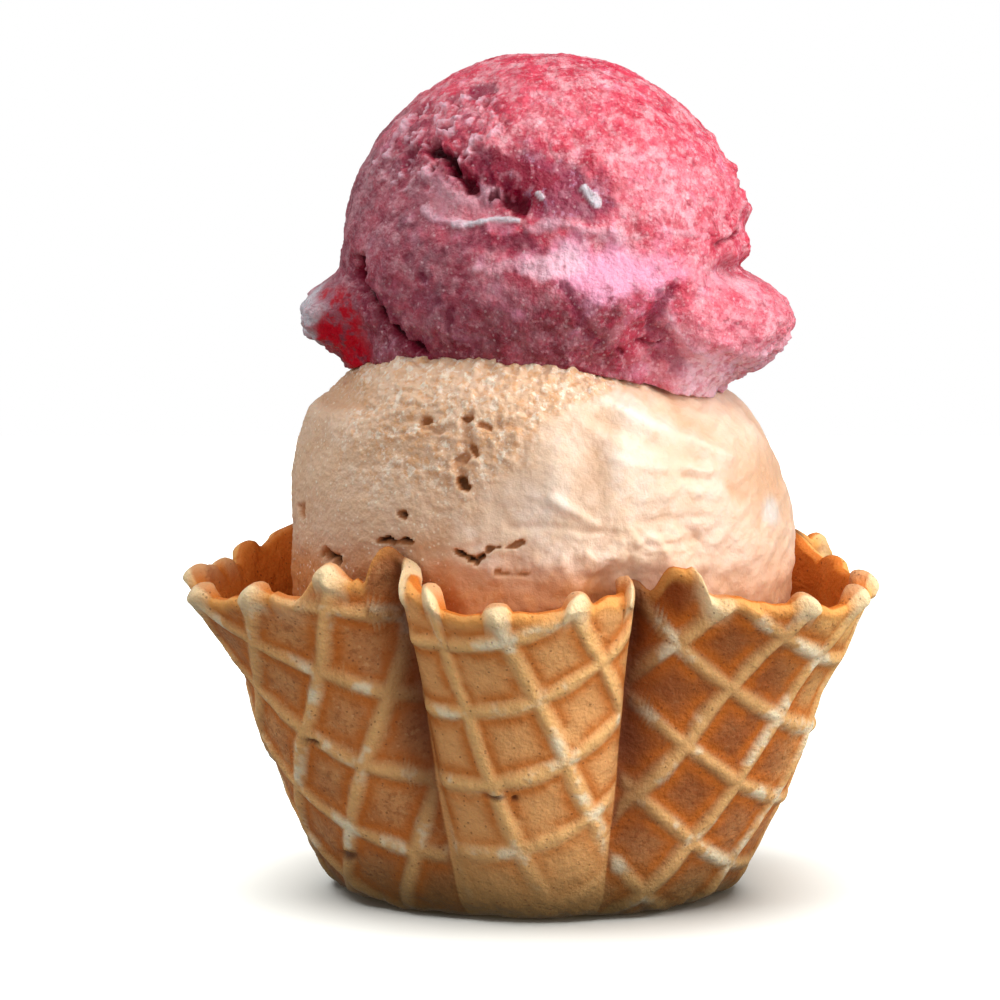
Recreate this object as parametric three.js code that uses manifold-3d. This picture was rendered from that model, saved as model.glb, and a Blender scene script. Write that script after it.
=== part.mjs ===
// Two scoops in a fluted waffle bowl, in millimetres, +Z up, front facing -Y.
// The origin is the middle of the bowl's base, on the table.
// The bowl is a disc of waffle, baked with a square grid of ridges and pressed while hot into five scallops:
// every scallop is an arc of a circle in plan, and two scallops pinch the sheet between them into a fold.
// A caramel scoop fills the bowl and overhangs its rim, and a berry sorbet scoop sits on its flattened top.
import * as THREE from "three";
import { mergeVertices } from "three/addons/utils/BufferGeometryUtils.js";
import Module from "manifold-3d";

const wasm = await Module();
wasm.setup();

const DEG = Math.PI / 180;

// How finely the bowl's edges are drawn, and how far points on its faces keep from them.
const RIM_STEP = 1.6;
const FOLD_STEP = 3.2;
const BASE_STEP = 4.5;
const RIM_MARGIN = 1.3;
const FOLD_MARGIN = 1.9;
const BASE_MARGIN = 2.6;

// The baked sheet.
const SHEET_RADIUS = 85;
const SHEET_THICKNESS = 2.0;
const GRID_PITCH = 11.9;
const GRID_TURN = -18.5 * DEG;
const RIDGE_HALF_WIDTH = 1.8;
const RIDGE_HEIGHT = 1.3;
const KNOB_REACH = 2.2; // how far a ridge's end stands out of the rim
const RIM_ROUND = 0.7; // how far the rim's edge bulges past its faces

// The bowl's side over a scallop and along a fold: slopes in degrees at distances from the middle of the sheet.
const BASE_RADIUS = 26;
const LOBE_SLOPES = [[0, 0], [BASE_RADIUS, 0], [36, 61], [52, 66], [64, 73], [72, 62], [78, 52], [94, 68]];
const FOLD_SLOPES = [[0, 0], [BASE_RADIUS, 0], [36, 78], [60, 82], [94, 84]];

// The folds' azimuths from the front towards +X, at the rim and at the base, and how much further than elsewhere the
// sheet's rim stands out there. With each comes the scallop that follows it: the place on the sheet of its middle,
// how its grid is shifted there, and how far it reaches.
const FOLDS = [
  { rim: -28.5, base: -19, rise: 2.8, sheet: 0, shift: [-0.8, 6.2], reach: 0.8 },
  { rim: 21, base: 17.5, rise: -0.6, sheet: 53, shift: [-0.8, 0.2], reach: 1.0 },
  { rim: 95, base: 95, rise: 2.5, sheet: 122, shift: [-0.8, 0.2], reach: 1.0 },
  { rim: 172, base: 172, rise: 2.5, sheet: 204, shift: [-0.8, 6.2], reach: 1.0 },
  { rim: 250, base: 250, rise: 2.5, sheet: -60, shift: [-3.8, 5.2], reach: 1.0 },
];

// The scoops. The caramel one's foot is squared by a power, its right side leans in by a taper, and it keeps a
// clearance from the folds that opens out beside them. Its front left shoulder is pushed up by the scoop above.
const CARAMEL = { x: 1.2, radius: 40.2, middle: 57.5, top: 30.5, bottom: 52.5, tilt: 0.06 };
const PUSHED_UP = { azimuth: -15 * DEG, wide: 45 * DEG, rise: 1.6, power: 0.9 };
const CARAMEL_FOOT_POWER = 2.5;
const CARAMEL_TAPER = 0.0022;
const FOLD_CLEARANCE = 0.9 * SHEET_THICKNESS;
const BESIDE_FOLD = { from: 5 * DEG, to: 18 * DEG, room: 5 };
const SORBET = { radius: 32.6, centre: new THREE.Vector3(1.6, 0, 100.8) };
const SCOOP_GAP = 0.35;

// Columns and rows of the scoops' surfaces, and points on the ring inside the base.
const CARAMEL_GRID = [56, 28];
const SORBET_GRID = [60, 34];
const BASE_RING = 9;

// ---------- small helpers ----------

function smoothstep(low, high, x) {
  const t = THREE.MathUtils.clamp((x - low) / (high - low), 0, 1);
  return t * t * (3 - 2 * t);
}

function geometryOf(positions, triangles) {
  const geometry = new THREE.BufferGeometry();
  geometry.setAttribute("position", new THREE.Float32BufferAttribute(positions, 3));
  geometry.setIndex(triangles);
  return geometry;
}

function solidOf(geometry) {
  const bare = geometry.clone();
  bare.deleteAttribute("normal");
  bare.deleteAttribute("uv");
  const merged = mergeVertices(bare, 1e-4);
  const mesh = new wasm.Mesh({
    numProp: 3,
    vertProperties: new Float32Array(merged.attributes.position.array),
    triVerts: new Uint32Array(merged.index.array),
  });
  return new wasm.Manifold(mesh);
}

function meshOf(name, solid, material) {
  const { vertProperties, triVerts } = solid.getMesh();
  const geometry = geometryOf(vertProperties, Array.from(triVerts));
  geometry.computeVertexNormals();
  const mesh = new THREE.Mesh(geometry, material);
  mesh.name = name;
  return mesh;
}

// ---------- the bowl's form ----------

// A value between the listed stops, in smooth steps.
function between(stops, s) {
  const i = Math.max(stops.findIndex(([at]) => at > s), 1);
  const [from, low] = stops[i - 1];
  const [to, high] = stops[i];
  return THREE.MathUtils.lerp(low, high, smoothstep(from, to, s));
}

// Radius and height along the sheet, added up from its slope in short steps.
const STEP = 0.25;
const BASE_HEIGHT = SHEET_THICKNESS / 2;

function meridian(slopes) {
  const radii = [0];
  const heights = [BASE_HEIGHT];
  const turned = [0];
  for (let s = STEP; s < slopes.at(-1)[0]; s += STEP) {
    const slope = between(slopes, s - STEP / 2) * DEG;
    radii.push(radii.at(-1) + STEP * Math.cos(slope));
    heights.push(heights.at(-1) + STEP * Math.sin(slope));
    turned.push(slope);
  }
  return { radii, heights, slopes: turned };
}

function along(values, s) {
  const i = Math.min(Math.floor(s / STEP), values.length - 2);
  return THREE.MathUtils.lerp(values[i], values[i + 1], s / STEP - i);
}

const lobe = meridian(LOBE_SLOPES);
const fold = meridian(FOLD_SLOPES);

function foldAzimuth({ rim, base }, s) {
  const share = THREE.MathUtils.clamp((s - BASE_RADIUS) / (SHEET_RADIUS - BASE_RADIUS), 0, 1);
  return THREE.MathUtils.lerp(base, rim, share) * DEG;
}

// In plan a scallop is, s from the sheet's middle, a circle through its two folds and its furthest point.
function circleAt(scallop, s) {
  const start = foldAzimuth(FOLDS[scallop], s);
  const next = (scallop + 1) % FOLDS.length;
  const end = foldAzimuth(FOLDS[next], s) + (next === 0 ? 2 * Math.PI : 0);
  const half = (end - start) / 2;
  const near = along(fold.radii, s);
  const far = near + (along(lobe.radii, s) - near) * FOLDS[scallop].reach;
  const spread = far - near * Math.cos(half);
  const centre = spread > 1e-6 ? (far * far - near * near) / (2 * spread) : 0;
  return { middle: (start + end) / 2, half, near, far, centre, radius: far - centre };
}

// The angle on that circle at which it meets the fold, seen from the circle's centre.
function foldAngle({ half, near, centre }) {
  return Math.atan2(near * Math.sin(half), near * Math.cos(half) - centre);
}

// A point of a fold's crease, on the sheet's outside for a lift above zero. Two scallops' faces meet there at an
// angle, so the crease lies further out than the faces do.
function onFold(index, s, lift) {
  const azimuth = foldAzimuth(FOLDS[index], s);
  const sides = [index, (index + FOLDS.length - 1) % FOLDS.length].map((scallop) => circleAt(scallop, s));
  const opening = sides.reduce((sum, c) => sum + Math.PI / 2 + c.half - foldAngle(c), 0) / 2;
  const slope = along(fold.slopes, s);
  const plan = along(fold.radii, s) + (lift * Math.sin(slope)) / Math.sin(opening);
  const height = along(fold.heights, s) - lift * Math.cos(slope);
  return new THREE.Vector3(plan * Math.sin(azimuth), -plan * Math.cos(azimuth), height);
}

// Where a point of the sheet ends up on the bowl. It is s from the sheet's middle, turned by an angle from the
// scallop's own middle line, and lifted off the sheet towards the outside.
function onBowl(scallop, s, turn, lift) {
  const { middle, near, far, centre, radius } = circleAt(scallop, s);
  const angle = radius > 1e-6 ? (turn * s) / radius : 0;
  const plan = Math.hypot(radius * Math.sin(angle), centre + radius * Math.cos(angle));
  const reached = far - near > 1e-6 ? THREE.MathUtils.clamp((plan - near) / (far - near), 0, 1) : 1;
  const share = reached * FOLDS[scallop].reach;
  const slope = THREE.MathUtils.lerp(along(fold.slopes, s), along(lobe.slopes, s), share);
  const height = THREE.MathUtils.lerp(along(fold.heights, s), along(lobe.heights, s), share);
  const x = (radius + lift * Math.sin(slope)) * Math.sin(angle);
  const y = centre + (radius + lift * Math.sin(slope)) * Math.cos(angle);
  const sin = Math.sin(middle);
  const cos = Math.cos(middle);
  return new THREE.Vector3(x * cos + y * sin, x * sin - y * cos, height - lift * Math.cos(slope));
}

// ---------- the waffle grid ----------

// The coordinates along and across the grid of a point of the sheet, in a scallop, and back.
function toGrid(scallop, x, y) {
  const cos = Math.cos(GRID_TURN);
  const sin = Math.sin(GRID_TURN);
  const [alongShift, acrossShift] = FOLDS[scallop].shift;
  return [x * cos + y * sin + alongShift, -x * sin + y * cos + acrossShift];
}

function fromGrid(scallop, gx, gy) {
  const cos = Math.cos(GRID_TURN);
  const sin = Math.sin(GRID_TURN);
  const [alongShift, acrossShift] = FOLDS[scallop].shift;
  const x = gx - alongShift;
  const y = gy - acrossShift;
  return [x * cos - y * sin, x * sin + y * cos];
}

function fromCrest(g) {
  return Math.abs(g - GRID_PITCH * Math.round(g / GRID_PITCH));
}

// How far the rim stands out at an azimuth: ridges end in knobs, and the cells between them are ragged.
function rimShape(scallop, azimuth) {
  const [gx, gy] = toGrid(scallop, SHEET_RADIUS * Math.sin(azimuth), -SHEET_RADIUS * Math.cos(azimuth));
  const near = Math.min(fromCrest(gx), fromCrest(gy));
  const ragged = 0.6 * Math.sin(7 * azimuth + 1) + 0.4 * Math.sin(19 * azimuth) + 0.3 * Math.sin(31 * azimuth + 2);
  return KNOB_REACH * (1 - smoothstep(0.4, 2.6, near)) + ragged;
}

// How high the ridges stand at a point of the sheet. They run out towards the pressed base and the folds.
function ridgeHeight(scallop, x, y) {
  const [gx, gy] = toGrid(scallop, x, y);
  const near = Math.min(fromCrest(gx), fromCrest(gy));
  const s = Math.hypot(x, y);
  const circle = circleAt(scallop, s);
  const toFold = foldAngle(circle) * circle.radius - Math.abs(turnOf(scallop, x, y)) * s;
  const raised = smoothstep(BASE_RADIUS + 3, BASE_RADIUS + 9, s) * smoothstep(0.5, 4, toFold);
  return RIDGE_HEIGHT * raised * (1 - smoothstep(0.3, RIDGE_HALF_WIDTH, near));
}

// The angle of a point of the sheet from its scallop's middle line.
function turnOf(scallop, x, y) {
  const turn = Math.atan2(x, -y) - FOLDS[scallop].sheet * DEG;
  return Math.atan2(Math.sin(turn), Math.cos(turn));
}

// ---------- the bowl's faces ----------

function sheetPoint(s, azimuth) {
  return new THREE.Vector2(s * Math.sin(azimuth), -s * Math.cos(azimuth));
}

function insideOf(outline, p) {
  let inside = false;
  outline.forEach((a, i) => {
    const b = outline[(i + 1) % outline.length];
    const crossed = a.y > p.y !== b.y > p.y;
    if (crossed && p.x < a.x + ((b.x - a.x) * (p.y - a.y)) / (b.y - a.y)) {
      inside = !inside;
    }
  });
  return inside;
}

function fromEdge(p, a, b) {
  const t = THREE.MathUtils.clamp(p.clone().sub(a).dot(b.clone().sub(a)) / a.distanceToSquared(b), 0, 1);
  return p.distanceTo(a.clone().lerp(b, t));
}

// The Delaunay triangles of points in a plane that lie inside their outline, which is the list's first part.
// Points are added one by one: each opens the triangles whose circle it falls in and fills the gap with a fan.
// A wobble far below the tolerance keeps four points off one circle.
function triangulated(points, outlineLength) {
  const wobble = (i) => new THREE.Vector2(1e-5 * Math.sin(i * 7.1), 1e-5 * Math.sin(i * 3.7));
  const wobbled = points.map((p, i) => p.clone().add(wobble(i)));
  const far = 5000;
  wobbled.push(new THREE.Vector2(-far, -far), new THREE.Vector2(far, -far), new THREE.Vector2(0, far));
  const circled = (a, b, c) => {
    const [p, q, r] = [wobbled[a], wobbled[b], wobbled[c]];
    const [u, v] = [q.clone().sub(p), r.clone().sub(p)];
    const d = 2 * u.cross(v);
    const x = (v.y * u.lengthSq() - u.y * v.lengthSq()) / d;
    const y = (u.x * v.lengthSq() - v.x * u.lengthSq()) / d;
    return { corners: [a, b, c], x: p.x + x, y: p.y + y, square: x * x + y * y };
  };
  let triangles = [circled(points.length, points.length + 1, points.length + 2)];
  points.forEach((_, i) => {
    const open = new Map();
    const p = wobbled[i];
    triangles = triangles.filter((t) => {
      if ((p.x - t.x) ** 2 + (p.y - t.y) ** 2 > t.square) {
        return true;
      }
      t.corners.forEach((a, k) => {
        const b = t.corners[(k + 1) % 3];
        if (!open.delete(`${b} ${a}`)) {
          open.set(`${a} ${b}`, [a, b]);
        }
      });
      return false;
    });
    for (const [a, b] of open.values()) {
      triangles.push(circled(a, b, i));
    }
  });
  const outline = points.slice(0, outlineLength);
  const sumOf = (corners) => corners.reduce((sum, k) => sum.add(points[k]), new THREE.Vector2());
  return triangles
    .map((t) => t.corners)
    .filter((corners) => corners.every((k) => k < points.length))
    .filter((corners) => insideOf(outline, sumOf(corners).divideScalar(3)));
}

// Distances from the sheet's middle along a fold, from the base to the rim.
function foldStations(index) {
  const length = SHEET_RADIUS + FOLDS[index].rise - BASE_RADIUS;
  const steps = Math.round(length / FOLD_STEP);
  return Array.from({ length: steps + 1 }, (_, i) => BASE_RADIUS + (length * i) / steps);
}

// A scallop's outline: up its first fold, along the rim, down its second fold and back along the base. Every point
// has its place on the sheet and on the bowl for a given lift.
function scallopOutline(scallop) {
  const next = (scallop + 1) % FOLDS.length;
  const middle = FOLDS[scallop].sheet * DEG;
  const turnAt = (s) => {
    const circle = circleAt(scallop, s);
    return (foldAngle(circle) * circle.radius) / s;
  };
  const foldSide = (index, side) =>
    foldStations(index).map((s) => ({
      flat: sheetPoint(s, middle + side * turnAt(s)),
      bent: (lift) => onFold(index, s, lift),
      margin: FOLD_MARGIN,
    }));
  const spread = (count, place) =>
    Array.from({ length: count - 1 }, (_, i) => place((2 * (i + 1)) / count - 1));
  const free = (s, turn, margin, ridged) => {
    const flat = sheetPoint(s, middle + turn);
    const ridge = ridged ? ridgeHeight(scallop, flat.x, flat.y) : 0;
    return { flat, bent: (lift) => onBowl(scallop, s, turn, lift > 0 ? lift + ridge : lift), margin };
  };
  const top = turnAt(SHEET_RADIUS + Math.max(FOLDS[scallop].rise, FOLDS[next].rise));
  const rim = spread(Math.round((2 * top * SHEET_RADIUS) / RIM_STEP), (across) => {
    const level = smoothstep(0, 0.1, 1 - Math.abs(across));
    const s = SHEET_RADIUS + FOLDS[across < 0 ? scallop : next].rise * across ** 4;
    return free(s + level * rimShape(scallop, middle + top * across), top * across, RIM_MARGIN, true);
  });
  const bottom = turnAt(BASE_RADIUS);
  const base = spread(Math.round((2 * bottom * BASE_RADIUS) / BASE_STEP), (across) =>
    free(BASE_RADIUS, -bottom * across, BASE_MARGIN, false),
  );
  return { start: foldSide(scallop, -1), rim, end: foldSide(next, 1).reverse(), base };
}

// Points of a square net on the sheet that keep clear of an outline. The net has lines at the listed offsets from
// every crest.
function netPoints(scallop, outline, offsets) {
  const flats = outline.map(({ flat }) => flat);
  const count = Math.ceil(SHEET_RADIUS / GRID_PITCH) + 1;
  const lines = [];
  for (let i = -count; i <= count; i++) {
    lines.push(...offsets.map((offset) => i * GRID_PITCH + offset));
  }
  return lines
    .flatMap((gy) => lines.map((gx) => new THREE.Vector2(...fromGrid(scallop, gx, gy))))
    .filter((p) => insideOf(flats, p))
    .filter((p) => outline.every((a, i) => fromEdge(p, a.flat, flats[(i + 1) % flats.length]) > a.margin));
}

// The triangles of a face of the sheet, turned round on its outside.
function addFace(bent, triangles, lift, add) {
  for (const [a, b, c] of triangles) {
    if (lift > 0) {
      add(bent[a], bent[c], bent[b]);
    } else {
      add(bent[a], bent[b], bent[c]);
    }
  }
}

// One scallop's outside and inside faces and the edge between them along the rim.
function addScallop(scallop, add) {
  const { start, rim, end, base } = scallopOutline(scallop);
  const outline = [...start, ...rim, ...end, ...base];
  const nets = [
    [SHEET_THICKNESS / 2, [-RIDGE_HALF_WIDTH, 0, RIDGE_HALF_WIDTH, GRID_PITCH / 2]],
    [-SHEET_THICKNESS / 2, [0, GRID_PITCH / 2]],
  ];
  for (const [lift, offsets] of nets) {
    const net = netPoints(scallop, outline, offsets);
    const bent = outline.map((point) => point.bent(lift));
    for (const { x, y } of net) {
      const ridge = lift > 0 ? ridgeHeight(scallop, x, y) : 0;
      bent.push(onBowl(scallop, Math.hypot(x, y), turnOf(scallop, x, y), lift + ridge));
    }
    const flats = [...outline.map(({ flat }) => flat), ...net];
    addFace(bent, triangulated(flats, outline.length), lift, add);
  }
  addRim([start.at(-1), ...rim, end[0]], add);
}

// The rim's edge, from the outside face over a bulging middle line to the inside face.
function addRim(edge, add) {
  const rows = edge.map(({ bent }) => {
    const outer = bent(SHEET_THICKNESS / 2);
    const inner = bent(-SHEET_THICKNESS / 2);
    return [outer, outer.clone().lerp(inner, 0.5).add(new THREE.Vector3(0, 0, RIM_ROUND)), inner];
  });
  for (let i = 0; i + 1 < rows.length; i++) {
    for (let k = 0; k < 2; k++) {
      const [a, b, c, d] = [rows[i][k], rows[i + 1][k], rows[i + 1][k + 1], rows[i][k + 1]];
      add(a, b, c);
      add(a, c, d);
    }
  }
}

// The pressed base between the scallops, outside and inside.
function addBase(add) {
  const edge = FOLDS.flatMap((_, scallop) => {
    const { start, base } = scallopOutline(scallop);
    return [start[0], ...base.toReversed()];
  });
  for (const lift of [SHEET_THICKNESS / 2, -SHEET_THICKNESS / 2]) {
    const bent = edge.map((point) => point.bent(lift));
    const height = bent[0].z;
    bent.push(new THREE.Vector3(0, 0, height));
    for (let i = 0; i < BASE_RING; i++) {
      const flat = sheetPoint(BASE_RADIUS / 2, (2 * Math.PI * i) / BASE_RING);
      bent.push(new THREE.Vector3(flat.x, flat.y, height));
    }
    const flats = bent.map((p) => new THREE.Vector2(p.x, p.y));
    addFace(bent, triangulated(flats, edge.length), lift, add);
  }
}

function waffleBowl() {
  const positions = [];
  const add = (...corners) => positions.push(...corners.flatMap((p) => p.toArray()));
  FOLDS.forEach((_, scallop) => addScallop(scallop, add));
  addBase(add);
  const indices = Array.from({ length: positions.length / 3 }, (_, i) => i);
  return solidOf(geometryOf(positions, indices));
}

// ---------- the scoops ----------

// A bump on a scoop, in azimuth and elevation from its middle, flat-topped when its power is high.
function bump(azimuth, elevation, { at, wide, high, rise, power = 2 }) {
  const turned = Math.atan2(Math.sin(azimuth - at[0] * DEG), Math.cos(azimuth - at[0] * DEG)) / (wide * DEG);
  const raised = (elevation - at[1] * DEG) / (high * DEG);
  return rise * Math.exp(-(Math.hypot(turned, raised) ** power));
}

// A closed surface from points on rings between two poles.
function ringSurface(point, [columns, rows]) {
  const positions = [...point(0, 0).toArray()];
  const triangles = [];
  for (let j = 1; j < rows; j++) {
    for (let i = 0; i < columns; i++) {
      positions.push(...point(i / columns, j / rows).toArray());
    }
  }
  positions.push(...point(0, 1).toArray());
  const last = positions.length / 3 - 1;
  const at = (i, j) => 1 + (j - 1) * columns + (i % columns);
  for (let i = 0; i < columns; i++) {
    triangles.push(0, at(i + 1, 1), at(i, 1));
    triangles.push(last, at(i, rows - 1), at(i + 1, rows - 1));
    for (let j = 1; j + 1 < rows; j++) {
      triangles.push(at(i, j), at(i + 1, j), at(i + 1, j + 1));
      triangles.push(at(i, j), at(i + 1, j + 1), at(i, j + 1));
    }
  }
  return solidOf(geometryOf(positions, triangles));
}

function turnBetween(a, b) {
  return Math.abs(Math.atan2(Math.sin(a - b), Math.cos(a - b)));
}

// The radius of the folds' inner edges at a height. Above the rim it opens out, so that a scoop can overhang.
function foldRadius(height) {
  const top = along(fold.heights, SHEET_RADIUS + Math.max(...FOLDS.map(({ rise }) => rise))) + RIM_ROUND;
  const i = fold.heights.findIndex((h, k) => h >= Math.min(height, top) && k * STEP > BASE_RADIUS);
  return fold.radii[i] + Math.max(height - top, 0);
}

function pushedUp(azimuth) {
  return Math.exp(-((turnBetween(azimuth, PUSHED_UP.azimuth) / PUSHED_UP.wide) ** 2));
}

// How square the caramel scoop's shoulder is: fuller on the left than on the right.
function shoulder(azimuth) {
  return 2.85 - 0.15 * Math.sin(azimuth) + PUSHED_UP.power * pushedUp(azimuth);
}

// How high the caramel scoop's top stands at an azimuth and a share of its radius.
function topRise(azimuth, share) {
  return CARAMEL.top + PUSHED_UP.rise * pushedUp(azimuth) * smoothstep(0, 0.6, share);
}

const CARAMEL_BUMPS = [
  { at: [-52, 8], wide: 22, high: 9, rise: 0.7 },
  { at: [8, 3], wide: 16, high: 30, rise: 0.8 },
  { at: [38, -2], wide: 12, high: 30, rise: -1.0 },
  { at: [66, 10], wide: 16, high: 24, rise: 0.8 },
  { at: [-12, -12], wide: 50, high: 4, rise: 0.9 },
  { at: [20, -22], wide: 40, high: 6, rise: -0.8 },
];

// A point of the caramel scoop: two halves of a rounded box of revolution, climb 0 at its foot and 1 at its top.
function onCaramel(turn, climb) {
  const azimuth = 2 * Math.PI * turn;
  const elevation = Math.PI * (climb - 0.5);
  const upper = elevation > 0;
  const power = upper ? shoulder(azimuth) : CARAMEL_FOOT_POWER;
  const share = Math.max(Math.cos(elevation), 0) ** (2 / power);
  const top = topRise(azimuth, share);
  const rise = (upper ? top : -CARAMEL.bottom) * Math.abs(Math.sin(elevation)) ** (2 / power);
  const lumps = CARAMEL_BUMPS.reduce((sum, b) => sum + bump(azimuth, rise / CARAMEL.radius, b), 0);
  const taper = upper ? 1 - CARAMEL_TAPER * rise * (0.5 + 0.5 * Math.sin(azimuth)) : 1;
  const radius = (CARAMEL.radius * taper + lumps) * share;
  const x = radius * Math.sin(azimuth);
  const tilt = upper ? CARAMEL.tilt * x * (rise / top) : 0;
  const point = new THREE.Vector3(CARAMEL.x + x, -radius * Math.cos(azimuth), CARAMEL.middle + rise - tilt);
  const plan = Math.hypot(point.x, point.y);
  const place = Math.atan2(point.x, -point.y);
  const aside = Math.min(...FOLDS.map(({ rim }) => turnBetween(place, rim * DEG)));
  const opened = BESIDE_FOLD.room * smoothstep(BESIDE_FOLD.from, BESIDE_FOLD.to, aside);
  const held = Math.min(1, (foldRadius(point.z) - FOLD_CLEARANCE - SCOOP_GAP + opened) / plan);
  point.x *= held;
  point.y *= held;
  return point;
}

// The height of the caramel scoop's top over a place in plan, or nothing beyond its side.
function caramelTop(planX, y) {
  const x = planX - CARAMEL.x;
  const azimuth = Math.atan2(x, -y);
  const power = shoulder(azimuth);
  const share = Math.min(Math.hypot(x, y) / CARAMEL.radius, 1);
  const rise = (1 - share ** power) ** (1 / power);
  return CARAMEL.middle + rise * (topRise(azimuth, share) - CARAMEL.tilt * x);
}

const SORBET_BUMPS = [
  { at: [80, -17.5], wide: 38, high: 11.5, rise: 7.8, power: 4 }, // the lobe that hangs on the right
  { at: [62, -35], wide: 36, high: 10, rise: 4.0, power: 3 },
  { at: [-88, -13.5], wide: 20, high: 8, rise: 7.2, power: 3 }, // the flange on the left
  { at: [-84, -29], wide: 28, high: 10, rise: 3.4, power: 3 },
  { at: [-150, -28], wide: 34, high: 12, rise: 4.0, power: 3 },
  { at: [150, -26], wide: 40, high: 13, rise: 4.5, power: 3 },
  { at: [-22, 17], wide: 18, high: 9, rise: -2.4 }, // the torn hollow in the front
  { at: [10, 6], wide: 26, high: 6, rise: -1.6 },
  { at: [22, -6], wide: 34, high: 7, rise: 1.4 }, // the fold under it
  { at: [33, -22], wide: 7, high: 14, rise: -1.8 }, // the crease beside the hanging lobe
  { at: [-68, -20], wide: 7, high: 16, rise: -1.8 }, // the crease beside the flange
];

function onSorbet(turn, share) {
  const azimuth = 2 * Math.PI * turn;
  const elevation = Math.PI * (share - 0.5);
  const radius = SORBET_BUMPS.reduce((sum, b) => sum + bump(azimuth, elevation, b), SORBET.radius);
  const out = radius * Math.cos(elevation);
  const point = new THREE.Vector3(out * Math.sin(azimuth), -out * Math.cos(azimuth), radius * Math.sin(elevation));
  return point.add(SORBET.centre);
}

// The sorbet scoop rests on the caramel scoop with a hair between them: its foot takes the other's form.
function sorbetScoop() {
  return ringSurface((turn, share) => {
    const point = onSorbet(turn, share);
    point.z = Math.max(point.z, caramelTop(point.x, point.y) + SCOOP_GAP);
    return point;
  }, SORBET_GRID);
}

function caramelScoop() {
  return ringSurface(onCaramel, CARAMEL_GRID);
}

// ---------- materials and the model ----------

const waffle = new THREE.MeshStandardMaterial({ color: 0xb0713a, roughness: 0.7, metalness: 0 });
const caramel = new THREE.MeshStandardMaterial({ color: 0xe8c8a6, roughness: 0.6, metalness: 0 });
const sorbet = new THREE.MeshStandardMaterial({ color: 0xd9677f, roughness: 0.45, metalness: 0 });

const group = new THREE.Group();
group.add(meshOf("waffle_bowl", waffleBowl(), waffle));
group.add(meshOf("caramel_scoop", caramelScoop(), caramel));
group.add(meshOf("sorbet_scoop", sorbetScoop(), sorbet));

export default group;
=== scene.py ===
"""The looks of two scoops in a fluted waffle bowl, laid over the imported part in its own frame.

Lengths are millimetres up to the making of a mesh, +Z is up and the front faces -Y. Every piece is one closed
surface on a grid of rings and columns, worked out as whole arrays.
"""

import itertools
import math

import bpy
import numpy as np
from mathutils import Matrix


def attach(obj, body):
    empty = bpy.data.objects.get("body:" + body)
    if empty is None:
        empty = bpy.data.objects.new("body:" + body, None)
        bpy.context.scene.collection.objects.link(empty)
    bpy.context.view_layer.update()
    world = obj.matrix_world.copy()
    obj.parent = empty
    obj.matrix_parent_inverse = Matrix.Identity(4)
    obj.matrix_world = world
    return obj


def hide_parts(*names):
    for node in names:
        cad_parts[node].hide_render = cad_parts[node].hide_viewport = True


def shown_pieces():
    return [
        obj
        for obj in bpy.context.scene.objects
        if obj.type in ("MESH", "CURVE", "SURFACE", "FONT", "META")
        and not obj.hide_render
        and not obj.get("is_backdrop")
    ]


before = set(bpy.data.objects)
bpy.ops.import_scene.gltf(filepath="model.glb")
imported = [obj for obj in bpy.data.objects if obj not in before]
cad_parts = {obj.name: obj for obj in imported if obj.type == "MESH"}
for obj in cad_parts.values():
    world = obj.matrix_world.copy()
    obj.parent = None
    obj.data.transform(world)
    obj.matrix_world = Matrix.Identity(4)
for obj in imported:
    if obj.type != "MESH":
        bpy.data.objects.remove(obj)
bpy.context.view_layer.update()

# ---------- the named sizes, as in the part's source ----------

SHEET_RADIUS = 85
SHEET_THICKNESS = 2.0
GRID_PITCH = 11.9
GRID_TURN = math.radians(-18.5)
RIDGE_HALF_WIDTH = 2.0
RIDGE_HEIGHT = 0.85
KNOB_REACH = 2.2
KNOB_RADIUS = 2.1
BASE_RADIUS = 26
LOBE_SLOPES = [[0, 0], [BASE_RADIUS, 0], [36, 61], [52, 66], [64, 73], [72, 62], [78, 52], [94, 68]]
FOLD_SLOPES = [[0, 0], [BASE_RADIUS, 0], [36, 78], [60, 82], [94, 84]]
STEP = 0.25
BASE_HEIGHT = SHEET_THICKNESS / 2

# Each fold's azimuth at the rim and at the base, and how much further the rim stands out there.
FOLDS = [
    {"rim": -28.5, "base": -19, "rise": 2.8},
    {"rim": 21, "base": 17.5, "rise": -0.6},
    {"rim": 95, "base": 95, "rise": 2.5},
    {"rim": 172, "base": 172, "rise": 2.5},
    {"rim": 250, "base": 250, "rise": 2.5},
]

# Each scallop, from its fold to the next: its middle's place on the sheet, its grid's shift, how far it
# reaches, how far its two edges lap over its neighbours', and how many columns it is drawn with.
FRONT, RIGHT, BACK_RIGHT, BACK_LEFT, LEFT = range(5)
SCALLOPS = {
    FRONT: {"middle": 0, "shift": (-0.8, 6.2), "reach": 0.8, "lap": (1.3, 1.0), "columns": 116},
    RIGHT: {"middle": 53, "shift": (-0.8, 0.2), "reach": 1.0, "lap": (-0.8, 0), "columns": 114},
    BACK_RIGHT: {"middle": 122, "shift": (-0.8, 0.2), "reach": 1.0, "lap": (0, 0), "columns": 60},
    BACK_LEFT: {"middle": 204, "shift": (-0.8, 6.2), "reach": 1.0, "lap": (0, 0), "columns": 60},
    LEFT: {"middle": -60, "shift": (-3.8, 5.2), "reach": 1.0, "lap": (0, -0.8), "columns": 112},
}

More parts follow.
